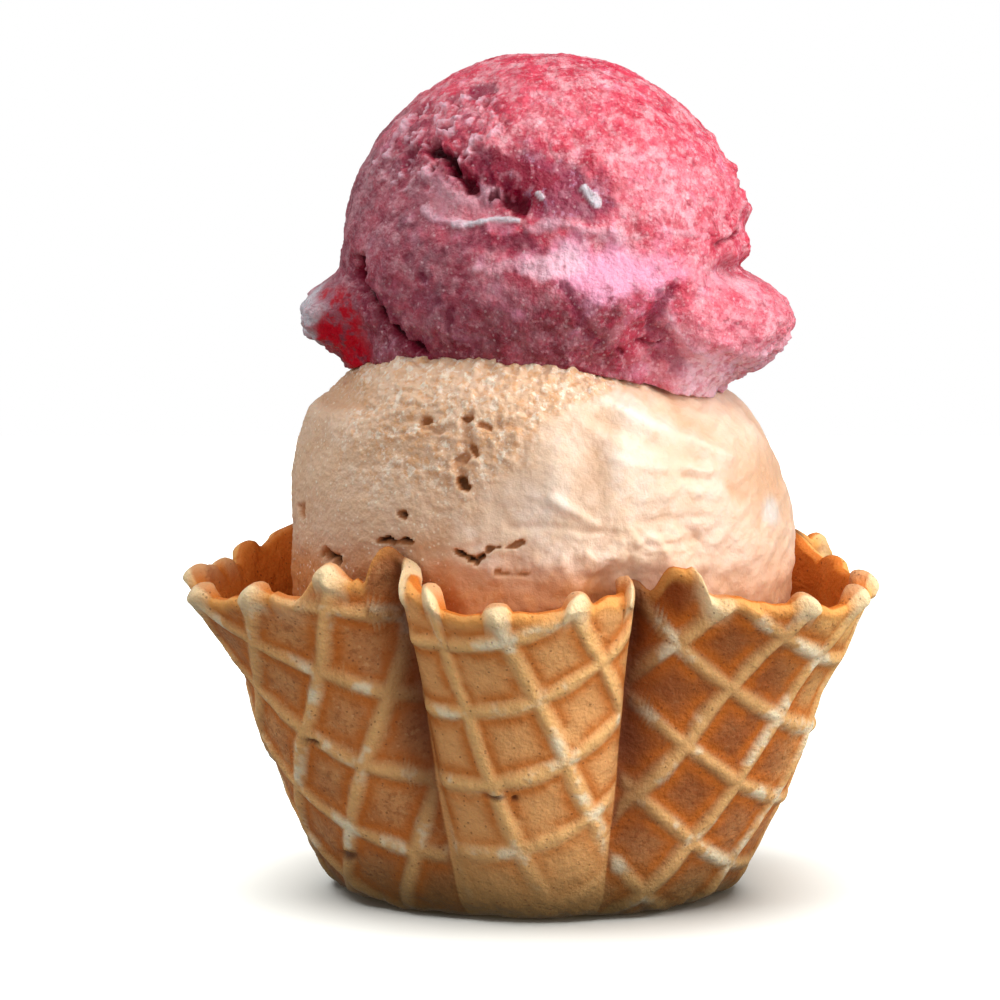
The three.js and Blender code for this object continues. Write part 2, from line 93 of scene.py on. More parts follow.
CARAMEL = {"x": 1.2, "radius": 40.2, "middle": 57.5, "top": 30.5, "bottom": 52.5, "tilt": 0.06}
PUSHED_UP = {"azimuth": -15, "wide": 45, "rise": 1.6, "power": 0.9}
CARAMEL_FOOT_POWER = 2.5
CARAMEL_TAPER = 0.0022
FOLD_CLEARANCE = 0.9 * SHEET_THICKNESS
FOLD_SOFTNESS = 0.015
SORBET_RADIUS = 32.6
SORBET_CENTRE = np.array([1.6, 0, 100.8])

# ---------- numbers that vary in space ----------


def smoothstep(low, high, x):
    """0 below low, 1 above high, and 3t^2 - 2t^3 between them."""
    t = np.clip((x - low) / (high - low), 0, 1)
    return t * t * (3 - 2 * t)


def falling(low, high, x):
    """1 below low and 0 above high."""
    return 1 - smoothstep(low, high, x)


def lerp(a, b, share):
    return a + (b - a) * share


def chance(cell, seed):
    """A repeatable random number from 0 to 1 for every cell of a whole-number lattice."""
    i, j, k = np.moveaxis(cell, -1, 0)
    mixed = (i * 374761393 + j * 668265263 + k * 1274126177 + seed * 362437) & 0xFFFFFFFF
    for turn in (13, 16):
        mixed = ((mixed ^ (mixed >> turn)) * 1103515245 + 12345) & 0xFFFFFFFF
    return (mixed ^ (mixed >> 15)) / 0xFFFFFFFF


# A turn that keeps the lattices of the noises off the part's own axes.
ASKEW = np.array([[0.36, 0.48, -0.80], [-0.80, 0.60, 0.0], [0.48, 0.64, 0.60]])


def lumps(points, size, seed=0):
    """Smooth lumps about size across, from -1 to 1: random slopes at a lattice's corners, blended."""
    place = points @ ASKEW / size
    corner = np.floor(place).astype(np.int64)
    t = place - corner
    fade = t * t * t * (t * (t * 6 - 15) + 10)
    total = np.zeros(points.shape[:-1])
    for step in itertools.product((0, 1), repeat=3):
        cell = corner + np.array(step)
        turn, climb = 2 * math.pi * chance(cell, seed), 2 * chance(cell, seed + 500) - 1
        flat = np.sqrt(1 - climb**2)
        slope = np.stack([flat * np.cos(turn), flat * np.sin(turn), climb], axis=-1)
        share = np.prod(np.where(step, fade, 1 - fade), axis=-1)
        total += share * (slope * (t - step)).sum(axis=-1)
    return 1.7 * total


def rough(points, size, octaves, seed=0):
    """Lumps on lumps: each layer is half as large and half as high as the one before."""
    return sum(lumps(points, size / 2**k, seed + k) / 2**k for k in range(octaves))


def grains(points, size, seed=0):
    """Packed grains: the distances to the two nearest centres, in sizes, and the nearest's own number."""
    place = points @ ASKEW / size
    corner = np.floor(place).astype(np.int64)
    first = np.full(points.shape[:-1], 9.0)
    second = first.copy()
    own = np.zeros(points.shape[:-1])
    for step in itertools.product((-1, 0, 1), repeat=3):
        cell = corner + np.array(step)
        centre = cell + np.stack([chance(cell, seed + k) for k in range(3)], axis=-1)
        gap = ((centre - place) ** 2).sum(axis=-1)
        closer = gap < first
        second = np.where(closer, first, np.minimum(second, gap))
        first = np.where(closer, gap, first)
        own = np.where(closer, chance(cell, seed + 3), own)
    return np.sqrt(first), np.sqrt(second), own


def pebbles(points, size, seed=0):
    """Rounded grains that stand up by their own random height, from 0 to 1."""
    first, _, own = grains(points, size, seed)
    return np.clip(1 - first * first, 0, 1) * (0.35 + 0.65 * own)


def chunks(points, size, seed=0):
    """Angular lumps with flat tops of random height, from 0 to 1, and each lump's own number."""
    first, second, own = grains(points, size, seed)
    return own * smoothstep(0, 0.25, second - first), own


def spot(x, z, at, wide, high, turn=0, power=2):
    """A patch in the front view: exp(-r^power), r the distance from its middle in its own half sizes."""
    cos, sin = math.cos(math.radians(turn)), math.sin(math.radians(turn))
    across, up = x - at[0], z - at[1]
    return np.exp(-(np.hypot((across * cos + up * sin) / wide, (up * cos - across * sin) / high) ** power))


def from_path(x, z, path):
    """The distance in the front view from the path through the listed points."""
    nearest = np.full(x.shape, 1e3)
    for (x0, z0), (x1, z1) in itertools.pairwise(path):
        run = (x1 - x0) ** 2 + (z1 - z0) ** 2
        share = np.clip(((x - x0) * (x1 - x0) + (z - z0) * (z1 - z0)) / run, 0, 1)
        nearest = np.minimum(nearest, np.hypot(x - lerp(x0, x1, share), z - lerp(z0, z1, share)))
    return nearest


def stroke(x, z, path, width):
    """A soft line in the front view: exp(-(d / width)^2), d the distance from the path."""
    return np.exp(-((from_path(x, z, path) / width) ** 2))


def torn_line(x, z, path, width, ragged, inner=0.4, outer=1.2):
    """1 along a path and 0 away from it, between inner and outer widths, moved by the ragged numbers."""
    return falling(inner, outer, from_path(x, z, path) / width + ragged)


def round_about(columns, crowd):
    """Azimuths round a ring, closer together in front: t - crowd * sin(t)."""
    turn = np.linspace(-math.pi, math.pi, columns, endpoint=False)
    return (turn - crowd * np.sin(turn))[None]


# ---------- surfaces on rings ----------


def outward(rings):
    """The unit normals of a surface of rings: the cross product of the steps round and up the rings."""
    round_it = np.roll(rings, -1, axis=1) - np.roll(rings, 1, axis=1)
    up_it = np.gradient(rings, axis=0)
    normal = np.cross(round_it, up_it)
    return normal / np.maximum(np.linalg.norm(normal, axis=-1, keepdims=True), 1e-9)


def closed_piece(name, rings, masks):
    """A mesh from rings of points, the first and last of one point each, with masks at its points."""
    rows, columns = rings.shape[:2]

    def listed(values):
        return np.concatenate([values[:1, 0], values[1:-1].reshape(-1, *values.shape[2:]), values[-1:, 0]])

    points = listed(rings) / 1000
    here = 1 + np.arange((rows - 2) * columns).reshape(rows - 2, columns)
    beside = np.roll(here, -1, axis=1)
    quads = np.stack([here[:-1], beside[:-1], beside[1:], here[1:]], axis=-1).reshape(-1, 4)
    first = np.stack([np.zeros(columns, int), beside[0], here[0]], axis=-1)
    last = np.stack([np.full(columns, len(points) - 1), here[-1], beside[-1]], axis=-1)
    mesh = bpy.data.meshes.new(name)
    mesh.from_pydata(points, [], [*first.tolist(), *quads.tolist(), *last.tolist()])
    mesh.shade_smooth()
    for label, values in masks.items():
        layer = mesh.attributes.new(label, "FLOAT", "POINT")
        layer.data.foreach_set("value", listed(values).astype(np.float32))
    piece = bpy.data.objects.new(name, mesh)
    bpy.context.scene.collection.objects.link(piece)
    return piece


# ---------- the bowl's form ----------


def between(stops, s):
    """The value at s between listed stops, in smooth steps."""
    at, value = np.array(stops, float).T
    i = np.clip(np.searchsorted(at, s, side="right"), 1, len(at) - 1)
    return lerp(value[i - 1], value[i], smoothstep(at[i - 1], at[i], s))


def meridian(slopes):
    """Stations along the sheet with the radius, height and slope there, summed from the slope in steps."""
    stations = np.arange(0, slopes[-1][0], STEP)
    slope = np.radians(between(slopes, stations[1:] - STEP / 2))
    radii = np.concatenate([[0], np.cumsum(STEP * np.cos(slope))])
    heights = BASE_HEIGHT + np.concatenate([[0], np.cumsum(STEP * np.sin(slope))])
    return stations, radii, heights, np.concatenate([[0], slope])


lobe = meridian(LOBE_SLOPES)
fold = meridian(FOLD_SLOPES)


def radius_of(line, s):
    return np.interp(s, line[0], line[1])


def height_of(line, s):
    return np.interp(s, line[0], line[2])


def slope_of(line, s):
    return np.interp(s, line[0], line[3])


def fold_azimuth(index, s):
    share = np.clip((s - BASE_RADIUS) / (SHEET_RADIUS - BASE_RADIUS), 0, 1)
    turns = 2 * math.pi * (index // len(FOLDS))
    at = FOLDS[index % len(FOLDS)]
    return np.radians(lerp(at["base"], at["rim"], share)) + turns


def circle_at(scallop, s):
    """In plan a scallop is a circle through its folds and furthest point; edge is a fold's angle on it."""
    start, end = fold_azimuth(scallop, s), fold_azimuth(scallop + 1, s)
    half = (end - start) / 2
    near = radius_of(fold, s)
    far = near + (radius_of(lobe, s) - near) * SCALLOPS[scallop]["reach"]
    spread = far - near * np.cos(half)
    centre = np.where(s > 1e-6, (far**2 - near**2) / np.maximum(2 * spread, 1e-9), 0)
    edge = np.arctan2(near * np.sin(half), near * np.cos(half) - centre)
    return (start + end) / 2, half, near, far, centre, far - centre, edge


def on_bowl(scallop, s, across, lift):
    """A point of the bowl, s from the sheet's middle, across from -1 to 1 between two folds, lifted outwards.

    The outside faces of two scallops cross beside their fold, so there the angle stops short of the fold by
    the lift over the tangent of the half opening.
    """
    middle, half, near, far, centre, radius, edge = circle_at(scallop, s)
    opening = math.pi / 2 + half - edge
    crossed = np.maximum(lift, 0) * np.sin(slope_of(fold, s)) / np.tan(np.minimum(opening, 1.5))
    angle = across * (edge - crossed / np.maximum(radius, 1e-6))
    plan = np.hypot(radius * np.sin(angle), centre + radius * np.cos(angle))
    share = np.clip((plan - near) / np.maximum(far - near, 1e-6), 0, 1) * SCALLOPS[scallop]["reach"]
    share = np.where(far - near > 1e-6, share, SCALLOPS[scallop]["reach"])
    slope = lerp(slope_of(fold, s), slope_of(lobe, s), share)
    height = lerp(height_of(fold, s), height_of(lobe, s), share)
    out = radius + lift * np.sin(slope)
    x, y = out * np.sin(angle), centre + out * np.cos(angle)
    sin, cos = np.sin(middle), np.cos(middle)
    return np.stack([x * cos + y * sin, x * sin - y * cos, height - lift * np.cos(slope)], axis=-1)


def from_crest(place):
    """How far a coordinate on the baked grid is from the nearest ridge's crest."""
    return np.abs(place - GRID_PITCH * np.round(place / GRID_PITCH))


def to_grid(scallop, s, turn):
    """The coordinates on the baked grid of a place on the flat sheet."""
    azimuth = math.radians(SCALLOPS[scallop]["middle"]) + turn
    x, y = s * np.sin(azimuth), -s * np.cos(azimuth)
    cos, sin = math.cos(GRID_TURN), math.sin(GRID_TURN)
    along_shift, across_shift = SCALLOPS[scallop]["shift"]
    return x * cos + y * sin + along_shift, -x * sin + y * cos + across_shift


# Places of the rim that stand higher or lower: scallop, its first (0) or second (1) fold, the distance from
# that fold, half width, rise, and how much of a pale knob it is, or less of one.
RIM_MARKS = [
    (FRONT, 0, 1.4, 2.2, -0.5, 1.0),
    (LEFT, 1, 0.0, 0.8, -0.5, 0.6),
    (LEFT, 1, 3.4, 2.1, 2.6, 0),
    (LEFT, 1, 6.8, 0.9, -1.3, 0),
    (LEFT, 1, 12.6, 2.6, 2.2, 0),
    (LEFT, 1, 18.4, 2.0, -1.2, 0),
    (RIGHT, 0, 7.6, 3.2, 4.6, -0.6),
    (RIGHT, 0, 10.4, 1.5, 1.2, 1.3),
    (RIGHT, 0, 14.4, 1.7, -0.8, -0.4),
    (RIGHT, 0, 18.5, 3.0, 0, -0.8),
    (RIGHT, 1, 10.1, 2.6, -1.0, -0.8),
    (BACK_RIGHT, 0, 13.9, 3.5, -2.0, -0.9),
    (BACK_RIGHT, 0, 29.3, 8.0, -1.6, -0.9),
    (LEFT, 0, 10.9, 2.4, -0.4, -0.9),
    (LEFT, 0, 17.0, 1.7, 1.8, 0.6),
]

# The waves of the rim's ragged edge: height, how many go round, and where each starts.
RIM_WAVES = [(0.6, 7, 1), (0.4, 19, 0), (0.3, 31, 2), (0.22, 67, 0.5), (0.15, 103, 1.4)]

# Small burst bubbles of the outside, in the front view: place and half sizes.
BURSTS = [
    ((-28.5, 9.2), 1.1, 1.1),
    ((-33.7, 28.1), 1.5, 0.5),
    ((-6.2, 21.7), 1.5, 0.45),
    ((-3.2, 21.4), 0.6, 0.5),
]
BURST_DEPTH = 0.8

# Where the right scallop bellies out: distance along the sheet, half width and rise.
BELLIES = [(58, 14, 1.5), (SHEET_RADIUS - 9, 6, 1.2)]

# How often the creases between scallops are eased low down, and how often up to the rim.
EASINGS = 16
EASINGS_TO_RIM = 2


def marked(scallop, across, length):
    """The marked places' rise, the sum of rise * exp(-(distance / half width)^4), and their knobs."""
    total, knobs = 0 * across, 0 * across
    for at, end, distance, wide, rise, pale in RIM_MARKS:
        if at == scallop:
            from_fold = length * (1 - across if end else 1 + across)
            here = np.exp(-(((from_fold - distance) / wide) ** 4))
            total = total + rise * here
            knobs = knobs + pale * here
    return total, knobs


def rises(scallop):
    return FOLDS[scallop]["rise"], FOLDS[(scallop + 1) % len(FOLDS)]["rise"]


def rim_reach(scallop, across, top):
    """How far the sheet reaches at its ragged rim, its knobs, and those of them that the marks add."""
    azimuth = math.radians(SCALLOPS[scallop]["middle"]) + top * across
    level = smoothstep(0, 0.1, 1 - np.abs(across))
    crossed = [smoothstep(0.3, 0.7, np.abs(turned(azimuth - GRID_TURN))) for turned in (np.cos, np.sin)]
    grid = to_grid(scallop, SHEET_RADIUS, top * across)
    ends = [np.sqrt(np.clip(1 - (from_crest(place) / KNOB_RADIUS) ** 2, 0, 1)) for place in grid]
    knob = level * np.maximum(crossed[0] * ends[0], crossed[1] * ends[1])
    ragged = sum(high * np.sin(count * azimuth + start) for high, count, start in RIM_WAVES)
    raised, added = marked(scallop, across, top * SHEET_RADIUS)
    reach = SHEET_RADIUS + np.where(across < 0, *rises(scallop)) * across**4 + raised
    return reach + KNOB_REACH * knob + level * ragged, np.clip(knob + added, 0, 1), np.clip(added, 0, 1)


def lapping(scallop, across, to_fold):
    """How far a scallop's outside stands over its neighbour's, or under it, beside their fold."""
    lap = np.where(across < 0, *SCALLOPS[scallop]["lap"])
    over = smoothstep(0.1, 0.9, to_fold) * falling(2, 10, to_fold)
    under = falling(0.5, 6, to_fold)
    return lap * np.where(lap > 0, over, under)


def bellied(scallop, across, s):
    """How far the right scallop stands out: the sum of rise * exp(-(distance / half width)^2)."""
    rise = sum(high * np.exp(-(((s - at) / wide) ** 2)) for at, wide, high in BELLIES)
    return rise * (scallop == RIGHT) * smoothstep(-0.3, 0.4, across) * falling(0.75, 1, across)


def browning_light_and_shade(scallop, across, s, to_fold, to_rim, middle):
    """Masks of tone: painted light over the front scallop and the right one's far side, worn low down on the
    front, painted shade by the right fold, darker low on the left, paler low down, and a painted shadow at
    the foot.
    """

    def low_down(reach, seed):
        return falling(BASE_RADIUS + 6, BASE_RADIUS + reach, s + 4 * lumps(middle, 9, seed))

    # Painted shade by the right fold, growing up from the base, and on the panel beside it under the rim; low
    # on the left scallop a darker browned tone.
    shade_by_fold = (scallop == RIGHT) * falling(-0.35, 0.55, across + 0.2 * lumps(middle, 12, 22))
    shade_by_fold = shade_by_fold * (0.3 + 0.7 * smoothstep(BASE_RADIUS + 4, BASE_RADIUS + 28, s))
    shaded_panel = (scallop == RIGHT) * (across < 0) * falling(6, 9, to_fold) * falling(5, 13, to_rim) * 0.5
    return {
        # painted light: lighter over the whole front scallop and the far side of the right scallop
        "painted_light": 0 * s + (scallop == FRONT) + (scallop == RIGHT) * smoothstep(0.55, 0.95, across),
        "browned_and_shade": shade_by_fold + shaded_panel + 0.6 * (scallop == LEFT) * low_down(26, 23),
        "worn": 0.85 * ((scallop == FRONT) * low_down(24, 24)),
        "low": falling(BASE_RADIUS, BASE_RADIUS + 16, s),
        # a painted contact shadow, darker towards the foot
        "foot_shadow": falling(BASE_RADIUS + 2, BASE_RADIUS + 20, s),
    }


def beside_ridge(place, width):
    """1 where a ridge's flank meets the cell, steep on the ridge's side and slow on the cell's: exp(-t^2)."""
    off = from_crest(place) - 1.05 * width
    return np.exp(-((off / np.where(off < 0, 0.6, 1.5)) ** 2))


def scallop_face(scallop, across, share, side):
    """One side of a scallop as rings of points, with the masks of its ridges, rim and inside, and of the
    painted shade in its folds.

    share runs from the base's middle to the rim. Side is 1 outside and -1 inside, and the values between them
    are the rounded edge: the lift goes from one face to the other with the cosine of an angle, and the edge
    bulges out with its sine.
    """
    furthest = SHEET_RADIUS + max(rises(scallop))
    *_, radius, edge = circle_at(scallop, np.array(furthest))
    reach, knob, added = rim_reach(scallop, across, edge * radius / furthest)
    thick = 1.0 + 0.6 * knob
    bulge = thick * np.sqrt(np.clip(1 - side * side, 0, 1))
    s = np.maximum(share * (reach - thick) + bulge, 1e-4)
    *_, radius, edge = circle_at(scallop, s)
    middle = on_bowl(scallop, s, across, 0 * s)
    to_fold = (1 - np.abs(across)) * edge * radius
    to_rim = reach - s
    browned_and_shade = browning_light_and_shade(scallop, across, s, to_fold, to_rim, middle)
    unworn = 1 - browned_and_shade["worn"]

    grid = to_grid(scallop, s, across * edge * radius / s)
    grid = [place + 0.35 * lumps(middle, 9, seed) for place, seed in zip(grid, (11, 12))]
    width = 0.9 * RIDGE_HALF_WIDTH * (1 + 0.2 * lumps(middle, 7, 13))
    crest = np.maximum(*(1 - smoothstep(0.1, 1, from_crest(place) / width) for place in grid)) * unworn
    raised = smoothstep(BASE_RADIUS + 2, BASE_RADIUS + 8, s) * smoothstep(0.1, 1.4, to_fold)
    height = 0.85 * RIDGE_HEIGHT * (1 + 0.35 * lumps(middle, 11, 14))
    off_base = smoothstep(BASE_RADIUS - 2, BASE_RADIUS + 5, s)
    coarse = off_base * (0.14 * rough(middle, 5, 3, 15) + 0.08 * lumps(middle, 1.4, 19))
    around_base = smoothstep(BASE_RADIUS - 3, BASE_RADIUS + 1, s)
    around_base = around_base * falling(BASE_RADIUS + 5, BASE_RADIUS + 11, s)
    coarse = coarse + 0.5 * around_base * rough(middle, 4.5, 3, 21)
    x, y, z = np.moveaxis(middle, -1, 0)
    burst = np.maximum.reduce([spot(x, z, *where, 0, 4) * (y < 0) for where in BURSTS])
    lapped = lapping(scallop, across, to_fold) * smoothstep(BASE_RADIUS + 4, SHEET_RADIUS - 6, s)
    outside = 0.5 * SHEET_THICKNESS + raised * height * crest + coarse + lapped - BURST_DEPTH * burst
    inside = -0.5 * SHEET_THICKNESS - 0.5 * raised * height * crest + 0.5 * coarse
    swelled = 0.85 * knob * falling(1.2, 4.2, to_rim)
    lift = lerp(inside, outside, (side + 1) / 2) + swelled * side + bellied(scallop, across, s)

    flank = np.maximum(*(beside_ridge(place, width) for place in grid)) * (1 - crest) * unworn
    # Painted shade in the folds, wider on the scallop sides that turn away into the creases.
    shaded = (scallop == LEFT) & (across > 0) | (scallop == RIGHT) & (across < 0)
    fold_shade = falling(0.3, np.where(shaded, 8.5, 3.6), to_fold + 0 * s) * (0.3 if scallop == FRONT else 1)
    paler = (0.35 if scallop in (FRONT, RIGHT, LEFT) else 0.1) * knob + 0.55 * added
    masks = {
        "ridge": np.maximum(crest * raised, 0.8 * knob * falling(1, 6, to_rim)) * (side > -0.9),
        "flank": flank * smoothstep(BASE_RADIUS, BASE_RADIUS + 8, s) * (side > -0.9),
        "rim": falling(0.4, 2.4, to_rim),
        "knob": knob * falling(1.5, 5.5, to_rim),
        "fold": fold_shade * smoothstep(BASE_RADIUS, SHEET_RADIUS - 20, s),
        "crease": falling(1, 4.5, to_fold + 0 * s),
        "inside": (side < 0.2) * (1 - paler * falling(1.5, 4.5, to_rim)),
        # painted shade inside the burst bubbles
        "burst": burst * (side > 0.5),
        # painted light on the bowl's right edge
        "painted_light_right": smoothstep(34, 50, x) * (side > 0),
    }
    return on_bowl(scallop, s, across, lift), masks | browned_and_shade


def waffle_bowl():
    """Rings go from the base's middle up the outside, over the rim and down the inside to the middle."""
    base, up, over, down = 5, 136, 9, 48
    outside = [np.linspace(0, 0.28, base), np.linspace(0.3, 1, up)]
    share = np.concatenate([*outside, np.ones(over), np.linspace(1, 0, down)])[:, None]
    half_turn = np.linspace(0, math.pi, over + 2)[1:-1]
    side = np.concatenate([np.ones(base + up), np.cos(half_turn), -np.ones(down)])[:, None]
    faces, closing = [], []
    for scallop, sizes in SCALLOPS.items():
        across = np.linspace(-1, 1, sizes["columns"] + 1)[None]
        rings, masks = scallop_face(scallop, across, share, side)
        faces.append((rings[:, :-1], {label: values[:, :-1] for label, values in masks.items()}))
        closing.append(rings[:, -1])
    for scallop, (rings, _) in enumerate(faces):
        rings[:, 0] = (rings[:, 0] + closing[scallop - 1]) / 2
    rings = np.concatenate([rings for rings, _ in faces], axis=1)
    masks = {label: np.concatenate([own[label] for _, own in faces], axis=1) for label in faces[0][1]}
    eased = 0.4 * masks["crease"][..., None]
    filled = falling(0.45, 0.85, share)[..., None]
    for turn in range(EASINGS):
        weight = eased if turn < EASINGS_TO_RIM else eased * filled
        rings = lerp(rings, (np.roll(rings, 1, axis=1) + np.roll(rings, -1, axis=1)) / 2, weight)
    rings[..., 2] = np.maximum(rings[..., 2], 0)
    return closed_piece("waffle_bowl_baked", rings, masks)


# ---------- the caramel scoop ----------


def turned_from(degrees, azimuth):
    """How far azimuths are turned from one in degrees, from -pi to pi."""
    return np.angle(np.exp(1j * (azimuth - math.radians(degrees))))


def bumps(azimuth, elevation, listed):
    """The sum of bumps, each rise * exp(-r^power) with r its distance in its own half sizes of angle."""
    total = 0
    for at, wide, high, rise, power in listed:
        aside = turned_from(at[0], azimuth) / math.radians(wide)
        up = (elevation - math.radians(at[1])) / math.radians(high)
        total = total + rise * np.exp(-(np.hypot(aside, up) ** power))
    return total


CARAMEL_BUMPS = [
    ((-52, 8), 22, 9, 0.7, 2),
    ((8, 3), 16, 30, 0.8, 2),
    ((38, -2), 12, 30, -1.0, 2),
    ((66, 10), 16, 24, 0.8, 2),
    ((-12, -12), 50, 4, 0.9, 2),
    ((20, -22), 40, 6, -0.8, 2),
]


def pushed_up(azimuth):
    """How far the front is pushed up by the scoop above: exp(-(the turn from its middle / its width)^2)."""
    return np.exp(-((turned_from(PUSHED_UP["azimuth"], azimuth) / math.radians(PUSHED_UP["wide"])) ** 2))


def shoulder(azimuth):
    return 2.85 - 0.15 * np.sin(azimuth) + PUSHED_UP["power"] * pushed_up(azimuth)


def top_rise(azimuth, share):
    return CARAMEL["top"] + PUSHED_UP["rise"] * pushed_up(azimuth) * smoothstep(0, 0.6, share)


def fold_radius(height, rise):
    """A fold's inner radius at a height, opening out above its rim, which stands out by the rise."""
    top = height_of(fold, SHEET_RADIUS + rise) + 0.7
    rising = fold[0] >= BASE_RADIUS
    return np.interp(np.minimum(height, top), fold[2][rising], fold[1][rising]) + np.maximum(height - top, 0)


def drawn_in(points):
    """The points drawn in where the bowl's folds leave less room, with a soft bend at the limit."""
    x, y, z = np.moveaxis(points, -1, 0)
    apart = np.stack([np.abs(turned_from(at["rim"], np.arctan2(x, -y))) for at in FOLDS])
    rise = np.array([at["rise"] for at in FOLDS])[apart.argmin(axis=0)]
    opened = 5 * smoothstep(math.radians(5), math.radians(18), apart.min(axis=0))
    room = fold_radius(z, rise) - FOLD_CLEARANCE + 0.2 + opened
    over = 1 - room / np.maximum(np.hypot(x, y), 1e-6)
    points[..., :2] *= (1 - FOLD_SOFTNESS * np.logaddexp(0, over / FOLD_SOFTNESS))[..., None]
    return points


def caramel_form(azimuth, climb):
    """Halves of a rounded box of revolution: the radius is (1 - height^p)^(1 / p) at height sin(climb)."""
    upper = climb > 0
    power = np.where(upper, shoulder(azimuth), CARAMEL_FOOT_POWER)
    height = np.abs(np.sin(climb))
    share = np.maximum(1 - height**power, 0) ** (1 / power)
    top = top_rise(azimuth, share)
    rise = np.where(upper, top, -CARAMEL["bottom"]) * height
    lumped = bumps(azimuth, rise / CARAMEL["radius"], CARAMEL_BUMPS)
    taper = np.where(upper, 1 - CARAMEL_TAPER * rise * (0.5 + 0.5 * np.sin(azimuth)), 1)
    radius = (CARAMEL["radius"] * taper + lumped) * share
    x = radius * np.sin(azimuth)
    tilt = np.where(upper, CARAMEL["tilt"] * x * rise / top, 0)
    points = np.stack([CARAMEL["x"] + x, -radius * np.cos(azimuth), CARAMEL["middle"] + rise - tilt], axis=-1)
    return drawn_in(points)


def caramel_top(plan_x, y):
    """The height of the caramel scoop's top over a place in plan."""
    x = plan_x - CARAMEL["x"]
    azimuth = np.arctan2(x, -y)
    power = shoulder(azimuth)
    share = np.minimum(np.hypot(x, y) / CARAMEL["radius"], 1)
    rise = (1 - share**power) ** (1 / power)
    return CARAMEL["middle"] + rise * (top_rise(azimuth, share) - CARAMEL["tilt"] * x)


# Crumbled places of the grainy side, in the front view: place, half sizes, and the share that fell out.
CARAMEL_CRUMBLED = [
    ((-16.4, 77.4), 3.2, 1.6, 0.3),
    ((-6.4, 78.6), 3.6, 1.6, 0.22),
    ((-2.0, 79.2), 2.6, 1.4, 0.22),
    ((-17.5, 82.5), 6.0, 2.0, 0.12),
]

# Holes and cracks, painted dark as shade: path, half width, depth, and how dark the painted shade in them is.
CARAMEL_PITS = [
    ([(-10.8, 78.6), (-10.5, 75.8), (-11.1, 73.6)], 1.2, 0.7, 0.1),
    ([(-11.6, 73.2), (-12.2, 71.4), (-11.4, 70.0)], 0.9, 0.7, 0.12),
    ([(-17.4, 77.6), (-14.8, 77.0)], 1.0, 0.6, 0.1),
    ([(-17.2, 78.3), (-15.4, 78.2)], 0.4, 0.6, 0.5),
    ([(-11.4, 79.0), (-9.9, 78.9)], 0.4, 0.7, 0.6),
    ([(-9.8, 74.6), (-9.2, 73.4)], 0.45, 0.7, 0.5),
    ([(-11.9, 69.7), (-10.5, 68.5)], 0.7, 1.2, 0.85),
    ([(-8.6, 77.9), (-7.0, 77.3)], 0.4, 0.6, 0.4),
    ([(-20.8, 64.0), (-19.9, 63.9)], 0.6, 1.2, 0.95),
    ([(-24.2, 59.5), (-22.6, 60.0), (-21.2, 59.5), (-19.3, 60.0)], 0.45, 1.2, 1.0),
    ([(-32.2, 56.4), (-30.6, 55.9)], 0.8, 1.6, 1.0),
    ([(-36.6, 62.8), (-36.4, 61.4)], 0.6, 0.6, 0.3),
    ([(-12.0, 58.6), (-10.6, 58.1), (-9.2, 57.5), (-8.2, 58.3)], 0.6, 1.2, 1.0),
    ([(-7.3, 59.0), (-5.6, 59.6)], 0.4, 0.8, 0.7),
    ([(-4.4, 59.5), (-1.8, 60.5)], 0.35, 0.7, 0.6),
    ([(-6.0, 55.7), (-3.2, 55.4), (-0.6, 55.8)], 0.25, 0.5, 0.45),
]

# Ridges and valleys of the smooth side: path, half width and rise.
CARAMEL_SWEEPS = [
    ([(8.5, 82.6), (12.5, 79.8), (17, 77.6), (26, 73.8), (30, 71.4)], 1.1, 0.75),
    ([(10, 86), (17, 82), (26, 76.5)], 2.2, -0.6),
    ([(9.6, 78.6), (16, 75.5), (25, 71.6)], 1.2, -0.65),
    ([(22.2, 71.0), (26.4, 69.8)], 0.7, 0.55),
    ([(22.6, 69.4), (26.4, 68.4)], 0.6, -0.5),
    ([(12.5, 72.6), (17, 71.2), (21, 70.6)], 0.9, 0.4),
    ([(8.2, 74), (8.6, 69), (8.2, 65.5)], 3.0, -0.7),
    ([(3.6, 75), (3.2, 70), (4.6, 66)], 2.0, 0.3),
    ([(13, 75), (13.2, 69), (12.4, 65)], 2.2, 0.45),
    ([(-4, 62.6), (2, 62.9), (8, 62.0), (13, 61.8)], 0.6, -0.3),
    ([(16, 62.9), (20, 63.4), (27, 63.0)], 0.6, -0.25),
    ([(2.4, 66.8), (5.6, 65.2), (8.9, 63.2)], 0.9, 0.8),
    ([(15.5, 61.6), (17.0, 59.8)], 0.6, -0.5),
    ([(19.0, 61.4), (19.8, 59.4)], 0.5, -0.45),
    ([(23.4, 61.6), (25.6, 59.0)], 0.6, -0.5),
    ([(17.0, 60.6), (21.6, 60.0)], 0.9, 0.4),
    ([(-4, 67.0), (3, 67.6), (9, 65.6)], 1.4, 0.3),
    ([(22, 70.5), (28, 68.6), (33, 65)], 1.1, -0.35),
    ([(16, 66.6), (22, 67.6), (29, 66)], 1.0, 0.3),
]


def grainy_relief(form, grainy, pebbly, front):
    """Fine grains all over the grainy side, crumbs on its pebbly part, and hollows where crumbs fell out."""
    x, y, z = np.moveaxis(form, -1, 0)
    fallen = 0.06 * pebbly
    for *where, share in CARAMEL_CRUMBLED:
        fallen = np.maximum(fallen, share * front * spot(x, z, *where, 0, 3))
    gone = np.minimum(1, 3 * fallen) * smoothstep(0.15, 0.5, lumps(form, 2.2, 58) - 0.4 + fallen)
    crumbs = rough(form, 1.7, 3, 41)
    crest = grainy * smoothstep(81, 85, z) * smoothstep(-14, -2, -y)
    relief = grainy * (0.22 * pebbles(form, 1.2, 48) + 0.12 * rough(form, 0.9, 2, 52) - 0.15)
    relief += pebbly * (0.34 * crumbs + 0.22 * np.abs(crumbs) + 0.24 * pebbles(form, 1.3, 54) - 0.2)
    relief += crest * (0.8 * pebbles(form, 1.7, 57) - 0.1)
    return relief - 0.9 * gone, gone


